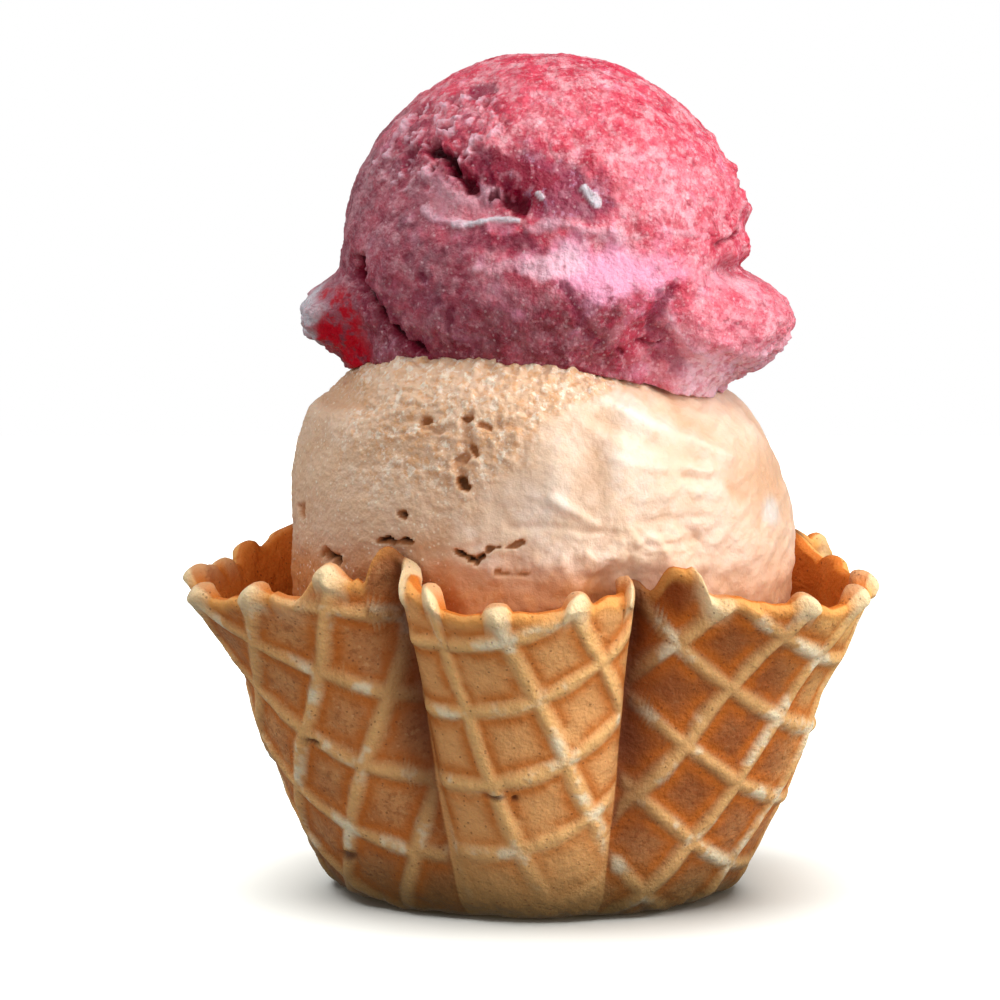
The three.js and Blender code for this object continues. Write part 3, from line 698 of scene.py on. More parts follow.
def drawn_relief(form, grainy):
    """Streaks drawn out along the smooth side, and wrinkles low down, deepest where the lip puckers."""
    x, y, z = np.moveaxis(form, -1, 0)
    drawn = np.stack([(x + z) / 14, (x - z) / 3.0, y / 9], axis=-1)
    streaks = 0.17 * lumps(drawn, 1, 64) + 0.07 * lumps(drawn * 2.3, 1, 65) + 0.05 * rough(form, 2, 2, 66)
    flat = np.stack([x / 5.5, y / 5.5, z / 2.4], axis=-1)
    wrinkles = 0.28 * lumps(flat, 1, 69) + 0.24 * rough(form, 2.6, 3, 70)
    wrinkled = falling(58, 63.5, z + 2.5 * lumps(form, 5, 68)) * (1 - 0.5 * grainy)
    puckered = 1 + 0.9 * spot(x, z, (14, 60), 15, 4.5, 0, 4)
    return (1 - grainy) * streaks + wrinkled * puckered * wrinkles


def caramel_scoop():
    """The form, with grains and pits on its left, drawn-out streaks on its right and a fold above its lip."""
    azimuth = round_about(446, 0.42)
    rows = np.concatenate([np.linspace(-90, -27, 18), np.linspace(-26, 68, 178), np.linspace(69.5, 90, 14)])
    form = caramel_form(azimuth, np.radians(rows)[:, None])
    normal = outward(form)
    normal[0], normal[-1] = (0, 0, -1), (0, 0, 1)
    x, y, z = np.moveaxis(form, -1, 0)
    front = smoothstep(0, 8, -y)
    round_front = smoothstep(-14, -2, -y)

    divide = -13 + 1.0 * np.maximum(z - 62, 0) + 1.6 * np.maximum(z - 80, 0)
    divide = divide + 4 * lumps(form, 7, 35) + 1.5 * lumps(form, 2.5, 36)
    behind = falling(-12, 14, x + 6 * lumps(form, 9, 37))
    grainy = np.where(y < 0, falling(divide - 4, divide + 4, x), behind)
    past_left = smoothstep(-35, -22, x + 4 * lumps(form, 5, 39))
    pebbly = grainy * smoothstep(62, 74, z + 3 * lumps(form, 5, 38))
    pebbly = pebbly * np.maximum(past_left, 0.9 * round_front * smoothstep(79, 84, z))

    grained, gone = grainy_relief(form, grainy, pebbly, front)
    relief = 0.45 * rough(form, 11, 3, 45) + grained + drawn_relief(form, grainy)
    relief -= 1.3 * smoothstep(-24, -31, x) * smoothstep(77, 81, z) * round_front
    relief -= 1.0 * smoothstep(28, 36, x) * np.exp(-(((z - 68) / 6) ** 2))
    ragged = 0.9 * rough(form, 2.0, 2, 60)
    # Painted shade in the pits, cracks and the hollows where crumbs fell out.
    pit_shade = 0.25 * gone
    for path, width, depth, dark in CARAMEL_PITS:
        pit = torn_line(x, z, path, width, (0.6 + 0.35 / width) * ragged) * front
        relief -= depth * pit
        pit_shade = np.maximum(pit_shade, pit * dark)
    uneven = 0.8 + 0.4 * lumps(form, 5, 72)
    for path, width, rise in CARAMEL_SWEEPS:
        relief += rise * uneven * stroke(x, z, path, width) * front
    relief *= smoothstep(20, 34, z)

    righter = smoothstep(7, 20, x)
    masks = {
        "grainy": grainy,
        "pebbly": pebbly,
        "pit_shade": pit_shade,
        # low: darker orange-brown low down, painted shade under the scoop and painted warm bounce from the
        # bowl
        "low": falling(52, 61, z + 1.5 * lumps(form, 5, 74) + 2.6 * righter) * (1 - 0.38 * righter),
        # high: painted highlights on the raised streaks of the smooth side
        "high": (1 - grainy) * smoothstep(0.2, 1.0, relief) * smoothstep(60, 64, z),
        # painted shade in a soft valley of the smooth side
        "valley_shade": front * (spot(x, z, (7.6, 69.8), 2.4, 5.0) + 0.6 * spot(x, z, (-2.5, 69.5), 5, 4)),
        "far": smoothstep(12, 36, x),
        "relief": relief,
        "frozen": front * spot(x, z, (37.4, 62.6), 1.6, 2.4, 0, 4),
    }
    return closed_piece("caramel_scoop_frozen", form + normal * relief[..., None], masks)


# ---------- the sorbet scoop ----------

SORBET_BUMPS = [
    ((80, -17.5), 38, 11.5, 7.8, 4),
    ((62, -35), 36, 10, 4.0, 3),
    ((-88, -13.5), 20, 8, 7.2, 3),
    ((-84, -29), 28, 10, 3.4, 3),
    ((-150, -28), 34, 12, 4.0, 3),
    ((150, -26), 40, 13, 4.5, 3),
    ((-22, 17), 18, 9, -2.4, 2),
    ((10, 6), 26, 6, -1.6, 2),
    ((22, -6), 34, 7, 1.4, 2),
    ((33, -22), 7, 14, -1.8, 2),
    ((-68, -20), 7, 16, -1.8, 2),
]

# Torn places in the front view: path, half width and depth.
SORBET_TEARS = [
    ([(-15.8, 119.8), (-13.7, 118.0)], 1.3, 1.6),
    ([(-12.3, 115.7), (-9.9, 113.6)], 1.4, 1.3),
    ([(-4.6, 111.9), (-2.6, 111.0)], 1.6, 1.2),
    ([(-27.4, 101.8), (-27.5, 98.2), (-26.4, 96.3), (-23.6, 92), (-21.0, 89.7), (-17.4, 88.1)], 0.85, 1.4),
    ([(28.8, 104.6), (32.0, 105.4)], 0.6, 0.9),
    ([(15.6, 90.0), (17.6, 89.2), (19.4, 89.6)], 0.35, 0.7),
    ([(12.6, 88.6), (13.4, 87.9)], 0.45, 0.7),
]

# Dark marks with little depth, painted shade along creases and in hollows and partly wine stains: path, half
# width and strength.
SORBET_SHADE_AND_STAINS = [
    ([(-27.5, 98.2), (-26.0, 96.0), (-23.0, 92), (-20.4, 89.9), (-17.2, 88.3)], 2.2, 0.85),
    ([(-15.6, 97.6), (-14.9, 96.0)], 0.8, 0.7),
    ([(-19.6, 102.4), (-19.0, 101.2)], 0.7, 0.6),
    ([(-8.6, 119.2), (-7.6, 116.4)], 1.5, 0.7),
    ([(-19.9, 120.4), (-20.1, 117.6)], 1.0, 0.8),
    ([(-24.4, 108.6), (-23.2, 107.9)], 0.9, 0.6),
    ([(-17.6, 100.0), (-17.2, 99.3)], 0.6, 0.9),
    ([(-21.0, 97.0), (-18.6, 96.2), (-16.4, 95.4)], 1.6, 0.45),
    ([(-13.6, 94.6), (-13.0, 92.6)], 0.9, 0.95),
    ([(-9.8, 128.0), (-7.2, 128.5)], 0.9, 0.9),
    ([(4.4, 98.9), (6.1, 95.2), (7.6, 92.2), (9.7, 89.8)], 0.8, 0.8),
    ([(20.8, 98.2), (19.2, 95.8), (17.9, 93.6), (18.2, 91.4)], 1.3, 0.9),
    ([(18.2, 91.4), (19.4, 88.9), (21.6, 86.0)], 1.8, 0.7),
    ([(-9.4, 106.2), (-5.5, 104.8), (-1.5, 105.8), (0.6, 103.4)], 1.3, 0.8),
    ([(-14.6, 102.6), (-12.0, 104.4)], 1.0, 0.4),
]

# Lips that stand up with a pale edge: path, half width and rise.
SORBET_LIPS = [
    ([(-16.9, 109.9), (-14.6, 108.4), (-11.6, 107.7)], 0.6, 0.9),
    ([(-16.4, 115.4), (-14.6, 113.2), (-12.2, 112.0), (-9.8, 111.4)], 1.0, 0.6),
    ([(-9.0, 101.0), (-5.0, 101.8), (-0.6, 102.4)], 0.6, 0.5),
    ([(-0.6, 107.2), (3.6, 108.2), (6.4, 107.4), (9.6, 106.6), (13.0, 105.9)], 0.8, 0.8),
    ([(-0.6, 102.8), (3.0, 102.4), (4.6, 104.2), (8.0, 104.6)], 0.9, 0.7),
    ([(19.6, 107.0), (22.6, 106.4), (26.0, 105.6)], 0.4, 0.5),
    ([(24.6, 99.8), (29.4, 98.4), (34, 97.6)], 1.0, 0.5),
    ([(20.7, 93.7), (21.9, 91.0), (23.7, 88.4), (26.5, 87.3)], 0.7, 0.5),
]

# Clear slivers of ice: path and half width.
SORBET_SLIVERS = [
    ([(7.6, 113.7), (9.2, 111.5)], 0.75),
    ([(-12.4, 107.7), (-9.8, 107.9), (-6.4, 108.8), (-2.8, 108.6)], 0.42),
    ([(0.4, 112.8), (0.9, 112.3)], 0.4),
]

# Patches of the front with ragged edges: place, half sizes, turn and power; the levels of their edge; how
# far it wanders, and the wandering's size, layers and seed.
SORBET_PATCHES = {
    "crumbly": (((-14.5, 120.5), 12, 6, 28, 3), (0.3, 0.7), 0.3, (4, 3, 64)),
    "broken": (((-9.0, 114.6), 7.5, 3.6, -28, 3), (0.35, 0.7), 0.35, (4, 3, 67)),
    "crater": (((1.2, 113.6), 12.0, 5.4, -14, 3), (0.2, 0.75), 0.35, (5, 3, 60)),
    "whitish": (((2.6, 101.8), 5, 2.2, 8, 3), (0.2, 0.8), 0.3, (3, 3, 109)),
    "wined": (((-4.2, 115.2), 8, 3.8, -14, 3), (0.3, 0.6), 0.5, (3, 3, 106)),
    "rosy": (((10.6, 101.0), 11, 5, -14, 2), (0.1, 0.95), 0.4, (4, 4, 101)),
}


def sorbet_form(azimuth, elevation):
    """A ball with the part's bumps, as points, and each point's direction from the ball's middle."""
    radius = SORBET_RADIUS + bumps(azimuth, elevation, SORBET_BUMPS)
    across, up = np.cos(elevation), np.sin(elevation) + 0 * azimuth
    direction = np.stack([across * np.sin(azimuth), -across * np.cos(azimuth), up], axis=-1)
    return SORBET_CENTRE + radius[..., None] * direction, direction


def lobes_relief(x, z):
    """The narrow neck over the right lobe, the cheek above it and the trimmed underside of the lobe."""
    neck = 2.2 * np.exp(-(((z - 99.9) / 1.7) ** 2)) + 0.9 * np.exp(-(((z - 105) / 4) ** 2))
    return -smoothstep(25, 31, x) * neck - 1.7 * smoothstep(26, 33, x) * falling(83, 89, z)


def sorbet_scoop():
    """A ball torn in the front and icy all over, that settles onto the scoop under it."""
    azimuth = round_about(474, 0.40)
    rows = np.concatenate([np.linspace(-90, -46, 10), np.linspace(-45, 64, 176), np.linspace(65.5, 90, 17)])
    form, direction = sorbet_form(azimuth, np.radians(rows)[:, None])
    x, y, z = np.moveaxis(form, -1, 0)
    front = smoothstep(0, 7, -y)

    def patch(name, points):
        where, edge, wander, noise = SORBET_PATCHES[name]
        return front * smoothstep(*edge, spot(x, z, *where) + wander * rough(points, *noise))

    crumbly, broken, crater = (patch(name, form) for name in ("crumbly", "broken", "crater"))
    shaken = form + 0.7 * lumps(form, 2, 70)[..., None]
    raised, own = chunks(shaken, 2.6, 71)
    small, _ = chunks(shaken, 1.4, 75)
    crystals = rough(form, 1.9, 3, 76)
    fallen = (own < 0.15 * broken + 0.08 * crumbly) * smoothstep(0.3, 0.6, np.maximum(broken, crumbly))
    edgy = smoothstep(22, 30, x) * smoothstep(98, 103, z) * falling(118, 124, z)
    lobed = smoothstep(27, 31, x) * falling(98, 101, z) + smoothstep(-29, -32, x) * falling(95, 99, z)
    relief = 0.5 * rough(form, 9, 3, 79) + 0.16 * rough(form, 1.8, 3, 82) + 0.20 * small
    relief += crumbly * (0.5 * raised + 1.0 * np.abs(crystals) + 0.4 * crystals - 0.6)
    relief += broken * (0.4 * raised + 0.5 * crystals - 0.4) - 0.4 * crater - 0.6 * fallen
    relief += edgy * smoothstep(-0.1, 0.5, lumps(form, 4.2, 88)) * (1 + 0.4 * lumps(form, 1.4, 89))
    relief += falling(88, 97, z) * (0.6 * rough(form, 5, 3, 90) + 0.35 * pebbles(form, 2.0, 94) - 0.1)
    relief += lobed * (0.45 * (raised - 0.4) + 0.3 * (small - 0.4)) + lobes_relief(x, z)

    ragged = 0.7 * rough(form, 1.9, 3, 61)
    torn = 0.8 * fallen * broken
    for path, width, depth in SORBET_TEARS:
        tear = torn_line(x, z, path, width, ragged) * front
        relief -= depth * tear
        torn = np.maximum(torn, tear * min(depth / 1.4, 1))
    # Dark wine in the crystals' gaps and along creases and hollows: partly the sorbet's own wine colour,
    # partly painted shade.
    shade_and_stain = 0.75 * np.maximum(crumbly, broken) * smoothstep(-0.05, -0.45, crystals)
    for path, width, strength in SORBET_SHADE_AND_STAINS:
        dark_mark = torn_line(x, z, path, width, 1.3 * ragged, 0.3, 1.5) * front
        relief -= 0.4 * strength * dark_mark
        shade_and_stain = np.maximum(shade_and_stain, strength * dark_mark)
    lipped = np.zeros(x.shape)
    for path, width, rise in SORBET_LIPS:
        lip = torn_line(x, z, path, width, 1.3 * ragged, 0.3, 1.7) * front
        relief += 0.55 * rise * lip * (0.6 + 0.8 * own)
        lipped = np.maximum(lipped, lip * min(rise / 1.2, 1))
    slivers = np.minimum.reduce([from_path(x, z, path) / width for path, width in SORBET_SLIVERS])
    flake = front * falling(0.7, 1.2, slivers + 0.6 * ragged)
    bridge = front * spot(x, z, (-7.2, 112.4), 1.9, 1.5, 0, 4)
    relief += 0.5 * flake + 0.5 * bridge

    form = form + direction * relief[..., None]
    form[..., 2] = np.maximum(form[..., 2], caramel_top(form[..., 0], form[..., 1]) - 0.5)
    tip = smoothstep(-32.5, -36.5, x + 2.2 * rough(form, 4, 3, 98)) * falling(98, 100, z)
    flange = smoothstep(-25.5, -28.5, x + 0.3 * (z - 90)) * falling(95, 98.5, z) * front
    # Pale frost on the raised crystals and lips, partly a painted highlight on their tops.
    frost_and_highlight = (crumbly + 0.25 * crater) * smoothstep(0.15, 0.5, crystals)
    masks = {
        "torn": torn,
        "crater": crater,
        "frost_and_highlight": np.clip(frost_and_highlight + lipped + 0.7 * bridge, 0, 1),
        "tip": tip + flake,
        "shade_and_stain": shade_and_stain,
        "under": falling(85, 90.5, z + 1.2 * lumps(form, 4, 99)) * smoothstep(19, 25, x),
        "pale": front * (spot(x, z, (20.3, 111), 8, 6, -20) + spot(x, z, (-11.4, 110.4), 6, 2.4, -18, 3)),
        # hotter pink toward the upper right and mauve toward the lower left: partly the sorbet's colour,
        # partly painted light and shade
        "warm_lit_side": smoothstep(-12, 14, x + 0.9 * (z - 100) + 5 * lumps(form, 8, 100)),
        # darker and redder on the lower left: painted shade with a wine tone
        "wine_and_shade_low_left": falling(91, 101, z - 0.25 * x) * falling(9, 20, x),
        "frosty": smoothstep(17, 26, x) * falling(93, 100, z),
        "flange": flange * (1 - tip),
        "relief": relief,
    }
    coloured = {name: patch(name, form) for name in ("whitish", "wined", "rosy")}
    return closed_piece("sorbet_scoop_frozen", form, masks | coloured)


# ---------- finishes ----------


def tint(red, green, blue):
    """A colour in scene-linear light from its screen values out of 255, by the usual curve for screens."""
    screen = [value / 255 for value in (red, green, blue)]
    return (*(part / 12.92 if part <= 0.04045 else ((part + 0.055) / 1.055) ** 2.4 for part in screen), 1)


def set_inputs(tree, node, inputs):
    """A node's inputs set to values, or joined to other nodes' outputs."""
    for name, value in inputs.items():
        if isinstance(value, bpy.types.NodeSocket):
            tree.links.new(value, node.inputs[name])
        else:
            node.inputs[name].default_value = value


def add(tree, kind, inputs=None, **settings):
    """The outputs of a new node with its settings and inputs."""
    made = tree.nodes.new(kind)
    for name, value in settings.items():
        setattr(made, name, value)
    set_inputs(tree, made, inputs or {})
    return made.outputs


def math_node(tree, operation, *values, clamped=True):
    inputs = dict(enumerate(values))
    return add(tree, "ShaderNodeMath", inputs, operation=operation, use_clamp=clamped)[0]


def ramp(tree, value, start, end, ends="To", **settings):
    """A value mapped from 0 to 1 onto start to end, or with ends "From" from start to end onto 0 to 1."""
    inputs = {"Value": value, f"{ends} Min": start, f"{ends} Max": end}
    return add(tree, "ShaderNodeMapRange", inputs, **settings)["Result"]


def new_group(name, inputs, outputs):
    """An empty shader node group with named number inputs and outputs."""
    tree = bpy.data.node_groups.new(name, "ShaderNodeTree")
    for label, value in inputs.items():
        given = tree.interface.new_socket(label, in_out="INPUT", socket_type="NodeSocketFloat")
        given.default_value = value
    for label in outputs:
        tree.interface.new_socket(label, in_out="OUTPUT", socket_type="NodeSocketFloat")
    return tree, tree.nodes.new("NodeGroupInput").outputs, tree.nodes.new("NodeGroupOutput")


def patches_group():
    """Irregular patches: noise cut between two levels into a mask."""
    inputs = {"Scale": 100, "Detail": 3, "Low": 0.45, "High": 0.55, "Seed": 0}
    tree, given, end = new_group("patches", inputs, ["Mask"])
    inputs = {
        "Vector": add(tree, "ShaderNodeTexCoord")["Object"],
        "W": given["Seed"],
        "Scale": given["Scale"],
        "Detail": given["Detail"],
        "Roughness": 0.6,
    }
    noise = add(tree, "ShaderNodeTexNoise", inputs, noise_dimensions="4D")["Fac"]
    cut = ramp(tree, noise, given["Low"], given["High"], "From", interpolation_type="SMOOTHSTEP")
    set_inputs(tree, end, {"Mask": cut})
    return tree


def grain_group():
    """Fine grain: the height of rounded cells with finer noise, and a mask of the cells that stand out."""
    inputs = {"Scale": 900, "Cells": 0.6, "Noise": 0.4, "Share": 0.1}
    tree, given, end = new_group("grain", inputs, ["Height", "Flecks"])
    place = {"Vector": add(tree, "ShaderNodeTexCoord")["Object"], "Scale": given["Scale"]}
    cells = add(tree, "ShaderNodeTexVoronoi", place)
    noise = add(tree, "ShaderNodeTexNoise", place | {"Detail": 4.0, "Roughness": 0.65})["Fac"]
    domed = math_node(tree, "SUBTRACT", 1.0, cells["Distance"], clamped=False)
    cell_part = math_node(tree, "MULTIPLY", domed, given["Cells"], clamped=False)
    height = math_node(tree, "MULTIPLY_ADD", noise, given["Noise"], cell_part, clamped=False)
    own = add(tree, "ShaderNodeSeparateColor", {"Color": cells["Color"]})["Red"]
    rare = math_node(tree, "LESS_THAN", own, given["Share"], clamped=False)
    small = ramp(tree, cells["Distance"], 0.45, 0.25, "From")
    flecks = math_node(tree, "MULTIPLY", rare, small, clamped=False)
    set_inputs(tree, end, {"Height": height, "Flecks": flecks})
    return tree


PATCHES = patches_group()
GRAIN = grain_group()


def patches(tree, size, low, high, seed, detail=3.0):
    """The patches group, for patches about size millimetres across."""
    inputs = {"Scale": 1000 / size, "Detail": detail, "Low": low, "High": high, "Seed": seed}
    return add(tree, "ShaderNodeGroup", inputs, node_tree=PATCHES)["Mask"]


def grain(tree, size, cells, noise, share):
    """The grain group, for grains about size millimetres across."""
    inputs = {"Scale": 1000 / size, "Cells": cells, "Noise": noise, "Share": share}
    return add(tree, "ShaderNodeGroup", inputs, node_tree=GRAIN)


def mask(tree, label):
    """A mask that the piece's own mesh carries."""
    return add(tree, "ShaderNodeAttribute", attribute_name=label)["Fac"]


def layered(tree, base, layers):
    """Colours laid over one another. Each shows by a mask, its name or two factors, times a strength."""
    colour = tint(*base)
    for over, shown, strength in layers:
        if isinstance(shown, str):
            shown = mask(tree, shown)
        elif isinstance(shown, tuple):
            shown = math_node(tree, "MULTIPLY", *shown)
        share = math_node(tree, "MULTIPLY", shown, strength)
        colour = add(tree, "ShaderNodeMix", {0: share, 6: colour, 7: tint(*over)}, data_type="RGBA")[2]
    return colour


def new_material(name):
    material = bpy.data.materials.new(name)
    material.use_nodes = True
    return material, material.node_tree, material.node_tree.nodes["Principled BSDF"]


def bumped(tree, layers):
    """The normal of bump nodes laid one on another, from heights and depths in millimetres."""
    below = {}
    for height, depth in layers:
        inputs = {"Height": height, "Distance": depth / 1000, "Strength": 1.0}
        below = {"Normal": add(tree, "ShaderNodeBump", inputs | below)["Normal"]}
    return below["Normal"]


def soft(weight, radius, millimetres):
    """The shader's values for the light that scatters inside."""
    values = {"Weight": weight, "Radius": radius, "Scale": millimetres / 1000}
    return {f"Subsurface {name}": value for name, value in values.items()}


def baked_waffle():
    """Brown cells, darker specks, orange beside the ridges partly as painted shade, and pale ridges and knobs
    that browned less; painted light on the front and right, painted shade in the folds and bubbles, and a
    painted shadow at the foot.
    """
    material, tree, shader = new_material("baked_waffle")
    fine = grain(tree, 0.55, 0.35, 0.65, 0.05)
    ridge, flank, rim, knob = (mask(tree, label) for label in ("ridge", "flank", "rim", "knob"))
    pale = math_node(tree, "MULTIPLY", ridge, patches(tree, 8, 0.52, 0.63, 4))
    # Orange where a ridge's flank meets the cell: partly toasted colour, partly painted shade at the foot of
    # the ridges.
    toasted_and_shaded_flank = math_node(tree, "MULTIPLY", flank, patches(tree, 7, 0.30, 0.50, 7))
    colour = layered(
        tree,
        (208, 138, 84),
        [
            ((228, 162, 102), patches(tree, 8, 0.44, 0.62, 1), 0.8),
            ((170, 100, 54), patches(tree, 1.1, 0.50, 0.60, 2, 5.0), 0.55),
            ((242, 188, 130), patches(tree, 0.9, 0.55, 0.66, 3, 5.0), 0.5),
            ((220, 182, 114), "low", 0.55),
            # painted light over the front scallop and the right scallop's far side
            ((250, 184, 116), "painted_light", 0.8),
            # darker brown: painted shade by the right fold, and a browned tone low on the left scallop
            ((142, 64, 10), "browned_and_shade", 0.74),
            # painted light on the bowl's right edge
            ((255, 198, 120), "painted_light_right", 0.9),
            ((210, 112, 28), toasted_and_shaded_flank, 0.8),
            ((236, 180, 112), "worn", 0.6),
            ((255, 202, 132), ridge, 0.72),
            ((255, 240, 206), pale, 0.85),
            ((248, 174, 92), rim, 0.85),
            ((255, 230, 184), knob, 0.9),
            ((212, 112, 26), "inside", 0.88),
            # painted shade in the folds
            ((92, 34, 4), "fold", 0.88),
            # painted contact shadow at the foot
            ((64, 51, 13), "foot_shadow", 0.9),
            # painted shade in the burst bubbles
            ((84, 32, 10), "burst", 0.85),
            ((104, 50, 20), fine["Flecks"], 0.5),
        ],
    )
    finish = {
        "Base Color": colour,
        "Roughness": ramp(tree, ridge, 0.62, 0.48),
        "Specular IOR Level": 0.22,
        "Normal": bumped(tree, [(patches(tree, 1.8, 0.2, 0.8, 6, 5.0), 0.35), (fine["Height"], 0.18)]),
    }
    set_inputs(tree, shader, finish | soft(0.12, (1.0, 0.5, 0.2), 1.5))
    return material


def caramel_ice():
    """Pale caramel, flecked with ice where grainy and smoother where drawn; warmer and darker in its pits,
    hollows and a valley as painted shade, painted shade and warm bounce low down, and painted highlights on
    raised streaks.
    """
    material, tree, shader = new_material("caramel_ice_cream")
    fine = grain(tree, 0.6, 0.5, 0.5, 0.16)
    grainy, pebbly, pit_shade = mask(tree, "grainy"), mask(tree, "pebbly"), mask(tree, "pit_shade")
    hollow_shade = ramp(tree, mask(tree, "relief"), 0.0, -1.0, "From")
    colour = layered(
        tree,
        (239, 208, 180),
        [
            ((248, 226, 209), patches(tree, 7, 0.42, 0.60, 11), 0.6),
            ((232, 196, 162), patches(tree, 3.2, 0.50, 0.64, 12, 4.0), 0.45),
            ((234, 196, 168), "far", 0.65),
            ((222, 177, 136), grainy, 0.58),
            # painted shade and warm bounce from the bowl low down
            ((204, 124, 50), "low", 0.88),
            # painted shade in the hollows
            ((208, 152, 104), hollow_shade, 0.6),
            # painted highlights on raised streaks
            ((255, 246, 236), "high", 0.45),
            # painted shade in a valley
            ((206, 168, 138), "valley_shade", 0.5),
            ((255, 242, 222), (grainy, fine["Flecks"]), 0.6),
            ((226, 166, 112), (pebbly, patches(tree, 1.3, 0.49, 0.61, 13)), 0.65),
            ((255, 244, 226), (pebbly, patches(tree, 1.3, 0.52, 0.62, 15)), 0.6),
            ((216, 214, 208), "frozen", 0.7),
            # painted shade in the pits and cracks, darkest at their middles
            ((186, 112, 54), (pit_shade, 3.0), 0.85),
            ((34, 13, 4), math_node(tree, "POWER", pit_shade, 2.0), 0.98),
        ],
    )
    fine_height = math_node(tree, "MULTIPLY", fine["Height"], grainy)
    finish = {
        "Base Color": colour,
        "Roughness": ramp(tree, grainy, 0.4, 0.55),
        "Specular IOR Level": ramp(tree, pit_shade, 0.45, 0.1),
        "Normal": bumped(tree, [(patches(tree, 2.2, 0.2, 0.8, 14, 5.0), 0.22), (fine_height, 0.2)]),
    }
    set_inputs(tree, shader, finish | soft(0.25, (1.0, 0.6, 0.35), 2))
    return material


def berry_ice():
    """Berry sorbet: mottled pink and red with pale ice, wine red where torn, glossy with fine crystals;
    hotter pink toward the upper right and darker toward the lower left, partly painted light and shade,
    painted shade in tears, creases and hollows, and painted glints.
    """
    material, tree, shader = new_material("berry_sorbet")
    fine = grain(tree, 0.65, 0.55, 0.45, 0.11)
    warm_lit_side, frost_and_highlight, torn, crater, wine_and_shade_low_left = (mask(tree, label) for label in ("warm_lit_side", "frost_and_highlight", "torn", "crater", "wine_and_shade_low_left"))
    hollow_shade = ramp(tree, mask(tree, "relief"), 0.0, -1.8, "From")
    wine = patches(tree, 3.0, 0.46, 0.60, 22, 5.0)
    cool_shaded_side = math_node(tree, "SUBTRACT", 1.0, warm_lit_side)
    flange = math_node(tree, "MULTIPLY", mask(tree, "flange"), patches(tree, 2.4, 0.40, 0.53, 33, 5.0))
    hot = math_node(tree, "MULTIPLY_ADD", warm_lit_side, 0.65, 0.35)
    calm = math_node(tree, "MULTIPLY_ADD", warm_lit_side, 0.5, 0.5)
    colour = layered(
        tree,
        (178, 96, 112),
        [
            ((146, 90, 108), patches(tree, 6, 0.44, 0.64, 27, 4.0), 0.6),
            # hotter pink on the lit side: partly painted light
            ((238, 90, 112), warm_lit_side, 0.88),
            ((220, 40, 76), (hot, patches(tree, 8, 0.42, 0.58, 35, 3.0)), 0.66),
            ((118, 40, 60), (cool_shaded_side, patches(tree, 11, 0.44, 0.60, 36, 4.0)), 0.7),
            ((246, 178, 188), (calm, patches(tree, 5.5, 0.47, 0.62, 21, 5.0)), 0.66),
            ((248, 176, 190), "pale", 0.6),
            ((196, 14, 52), (hot, wine), 0.66),
            ((248, 196, 204), (calm, patches(tree, 2.4, 0.48, 0.64, 34, 5.0)), 0.5),
            # painted shade on the lower left, with a wine tone
            ((126, 30, 52), wine_and_shade_low_left, 0.66),
            ((252, 158, 196), "rosy", 0.6),
            ((244, 156, 170), "frosty", 0.45),
            ((112, 10, 38), (wine_and_shade_low_left, wine), 0.75),
            ((250, 206, 220), "under", 0.85),
            # darker red in the hollows: painted shade
            ((144, 14, 52), hollow_shade, 0.5),
            ((198, 34, 74), (hot, patches(tree, 1.1, 0.48, 0.62, 28, 4.0)), 0.5),
            ((252, 194, 206), (calm, patches(tree, 1.0, 0.52, 0.66, 29, 4.0)), 0.42),
            ((255, 180, 212), "rosy", 0.68),
            ((252, 206, 222), "whitish", 0.7),
            ((138, 28, 68), crater, 0.82),
            ((150, 0, 46), "wined", 0.88),
            ((198, 140, 172), (crater, patches(tree, 1.6, 0.57, 0.64, 30, 4.0)), 0.6),
            ((224, 218, 226), "tip", 0.88),
            # dark wine: painted shade in creases and hollows, and partly stains
            ((130, 8, 54), "shade_and_stain", 0.88),
            # pale frost, partly painted highlight on raised crystals
            ((240, 192, 208), frost_and_highlight, 0.8),
            # painted glints: small pale flecks all over
            ((250, 212, 218), fine["Flecks"], 0.32),
            ((140, 40, 64), "flange", 0.6),
            ((204, 0, 32), flange, 0.95),
            ((138, 0, 38), torn, 0.95),
            # near black deep in the tears: painted shade
            ((24, 0, 6), math_node(tree, "POWER", torn, 4.0), 0.9),
        ],
    )
    gloss = patches(tree, 1.2, 0.35, 0.65, 23, 5.0)
    matt = math_node(tree, "MAXIMUM", torn, flange)
    finish = {
        "Base Color": colour,
        "Roughness": ramp(tree, gloss, 0.2, 0.5),
        "Specular IOR Level": ramp(tree, matt, 0.4, 0.1),
        "Normal": bumped(tree, [(patches(tree, 2.6, 0.2, 0.8, 24, 6.0), 0.6), (fine["Height"], 0.18)]),
    }
    set_inputs(tree, shader, finish | soft(0.25, (1.0, 0.3, 0.35), 2))
    return material


def pale_floor():
    """A plain, nearly white floor."""
    material, tree, shader = new_material("pale_floor")
    speckled = patches(tree, 400, 0.3, 0.7, 31)
    colour = layered(tree, (238, 240, 235), [((242, 244, 239), speckled, 1.0)])
    set_inputs(tree, shader, {"Base Color": colour, "Roughness": 0.9, "Specular IOR Level": 0.0})
    return material


# ---------- the pieces ----------

for piece, node, material_slot, material in [
    (waffle_bowl(), "waffle_bowl", "waffle", baked_waffle()),
    (caramel_scoop(), "caramel_scoop", "caramel_ice_cream", caramel_ice()),
    (sorbet_scoop(), "sorbet_scoop", "berry_sorbet", berry_ice()),
]:
    piece.data.materials.append(material)
    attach(piece, "root")
    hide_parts(node)

# ---------- floor, light and camera ----------

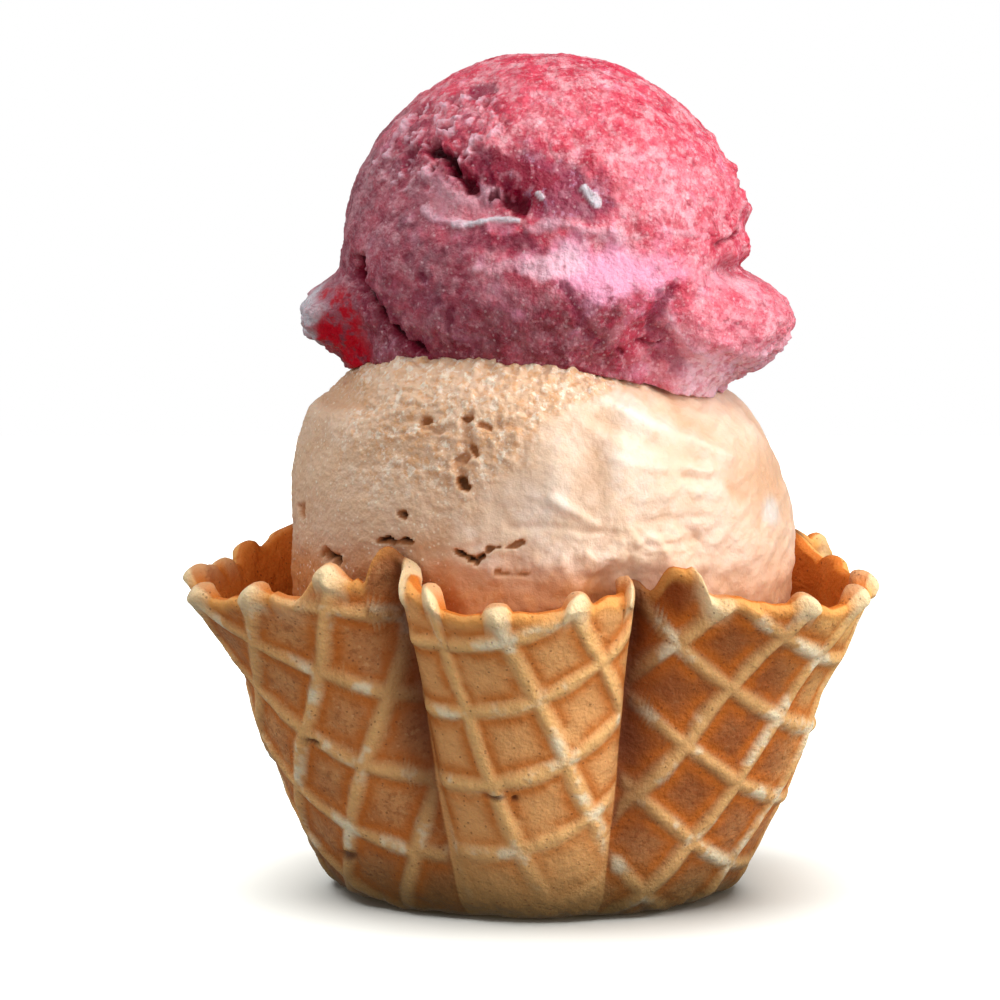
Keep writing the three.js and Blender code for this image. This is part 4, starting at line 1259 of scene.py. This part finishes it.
FLOOR_REACH = 0.7
corners = [(-1, -1), (1, -1), (1, 1), (-1, 1)]
corners = [(right * FLOOR_REACH, back * FLOOR_REACH, 0) for right, back in corners]
floor_mesh = bpy.data.meshes.new("floor")
floor_mesh.from_pydata(corners, [], [(0, 1, 2, 3)])
floor = bpy.data.objects.new("floor", floor_mesh)
bpy.context.scene.collection.objects.link(floor)
floor_mesh.materials.append(pale_floor())
floor.visible_diffuse = floor.visible_glossy = False
floor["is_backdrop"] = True

lit_pieces = bpy.data.collections.new("lit_pieces")
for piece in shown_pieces():
    lit_pieces.objects.link(piece)
lit_floor = bpy.data.collections.new("lit_floor")
lit_floor.objects.link(floor)

LIT_POINT = np.array([0, 0, 0.07])


def softbox(name, azimuth, elevation, distance, size, watts, colour, lit=lit_pieces):
    """A square light that faces the scoops from an azimuth to the right of the front."""
    lamp = bpy.data.lights.new(name, "AREA")
    lamp.size, lamp.energy, lamp.color = size, watts, colour
    box = bpy.data.objects.new(name, lamp)
    bpy.context.scene.collection.objects.link(box)
    box.light_linking.receiver_collection = lit
    turn, climb = math.radians(azimuth), math.radians(elevation)
    flat = math.cos(climb)
    towards = np.array([math.sin(turn) * flat, -math.cos(turn) * flat, math.sin(climb)])
    box.location = LIT_POINT + towards * distance
    box.rotation_euler = (math.pi / 2 - climb, 0, turn)
    return box


WARM, COOL = (1.0, 0.98, 0.96), (0.96, 0.98, 1.0)
softbox("key", 56, 58, 0.9, 0.45, 4.8, WARM)
softbox("side", 88, 34, 0.9, 0.45, 3.0, WARM)
softbox("rim", -110, 40, 0.9, 0.45, 3.2, COOL)
softbox("low", 62, 0, 1.0, 0.6, 7.5, WARM)
softbox("front", -16, 6, 1.2, 0.8, 4.9, WARM)
softbox("over_floor", -90, 88, 1.5, 2.0, 79.0, (1, 1, 1), lit_floor)

# The world is white where the camera sees it, and lights the pieces with less.
world = bpy.data.worlds.new("studio")
world.use_nodes = True
sky = world.node_tree
strength = ramp(sky, add(sky, "ShaderNodeLightPath")["Is Camera Ray"], 0.22, 1.0)
set_inputs(sky, sky.nodes["Background"], {"Color": (1, 1, 1, 1), "Strength": strength})
bpy.context.scene.world = world
bpy.context.scene.view_settings.view_transform = "Standard"

CAMERA_ELEVATION = math.radians(6.3)
CAMERA_DISTANCE = 0.75
CAMERA_AIM = 0.067
camera = bpy.data.objects.new("camera", bpy.data.cameras.new("camera"))
bpy.context.scene.collection.objects.link(camera)
away, up = CAMERA_DISTANCE * math.cos(CAMERA_ELEVATION), CAMERA_DISTANCE * math.sin(CAMERA_ELEVATION)
camera.location = (0, -away, CAMERA_AIM + up)
camera.rotation_euler = (math.pi / 2 - CAMERA_ELEVATION, 0, 0)
camera.data.sensor_width = 36
camera.data.lens = 168.75
camera.data.shift_x, camera.data.shift_y = -0.036, -0.030
camera.data.clip_start = 0.01
bpy.context.scene.camera = camera
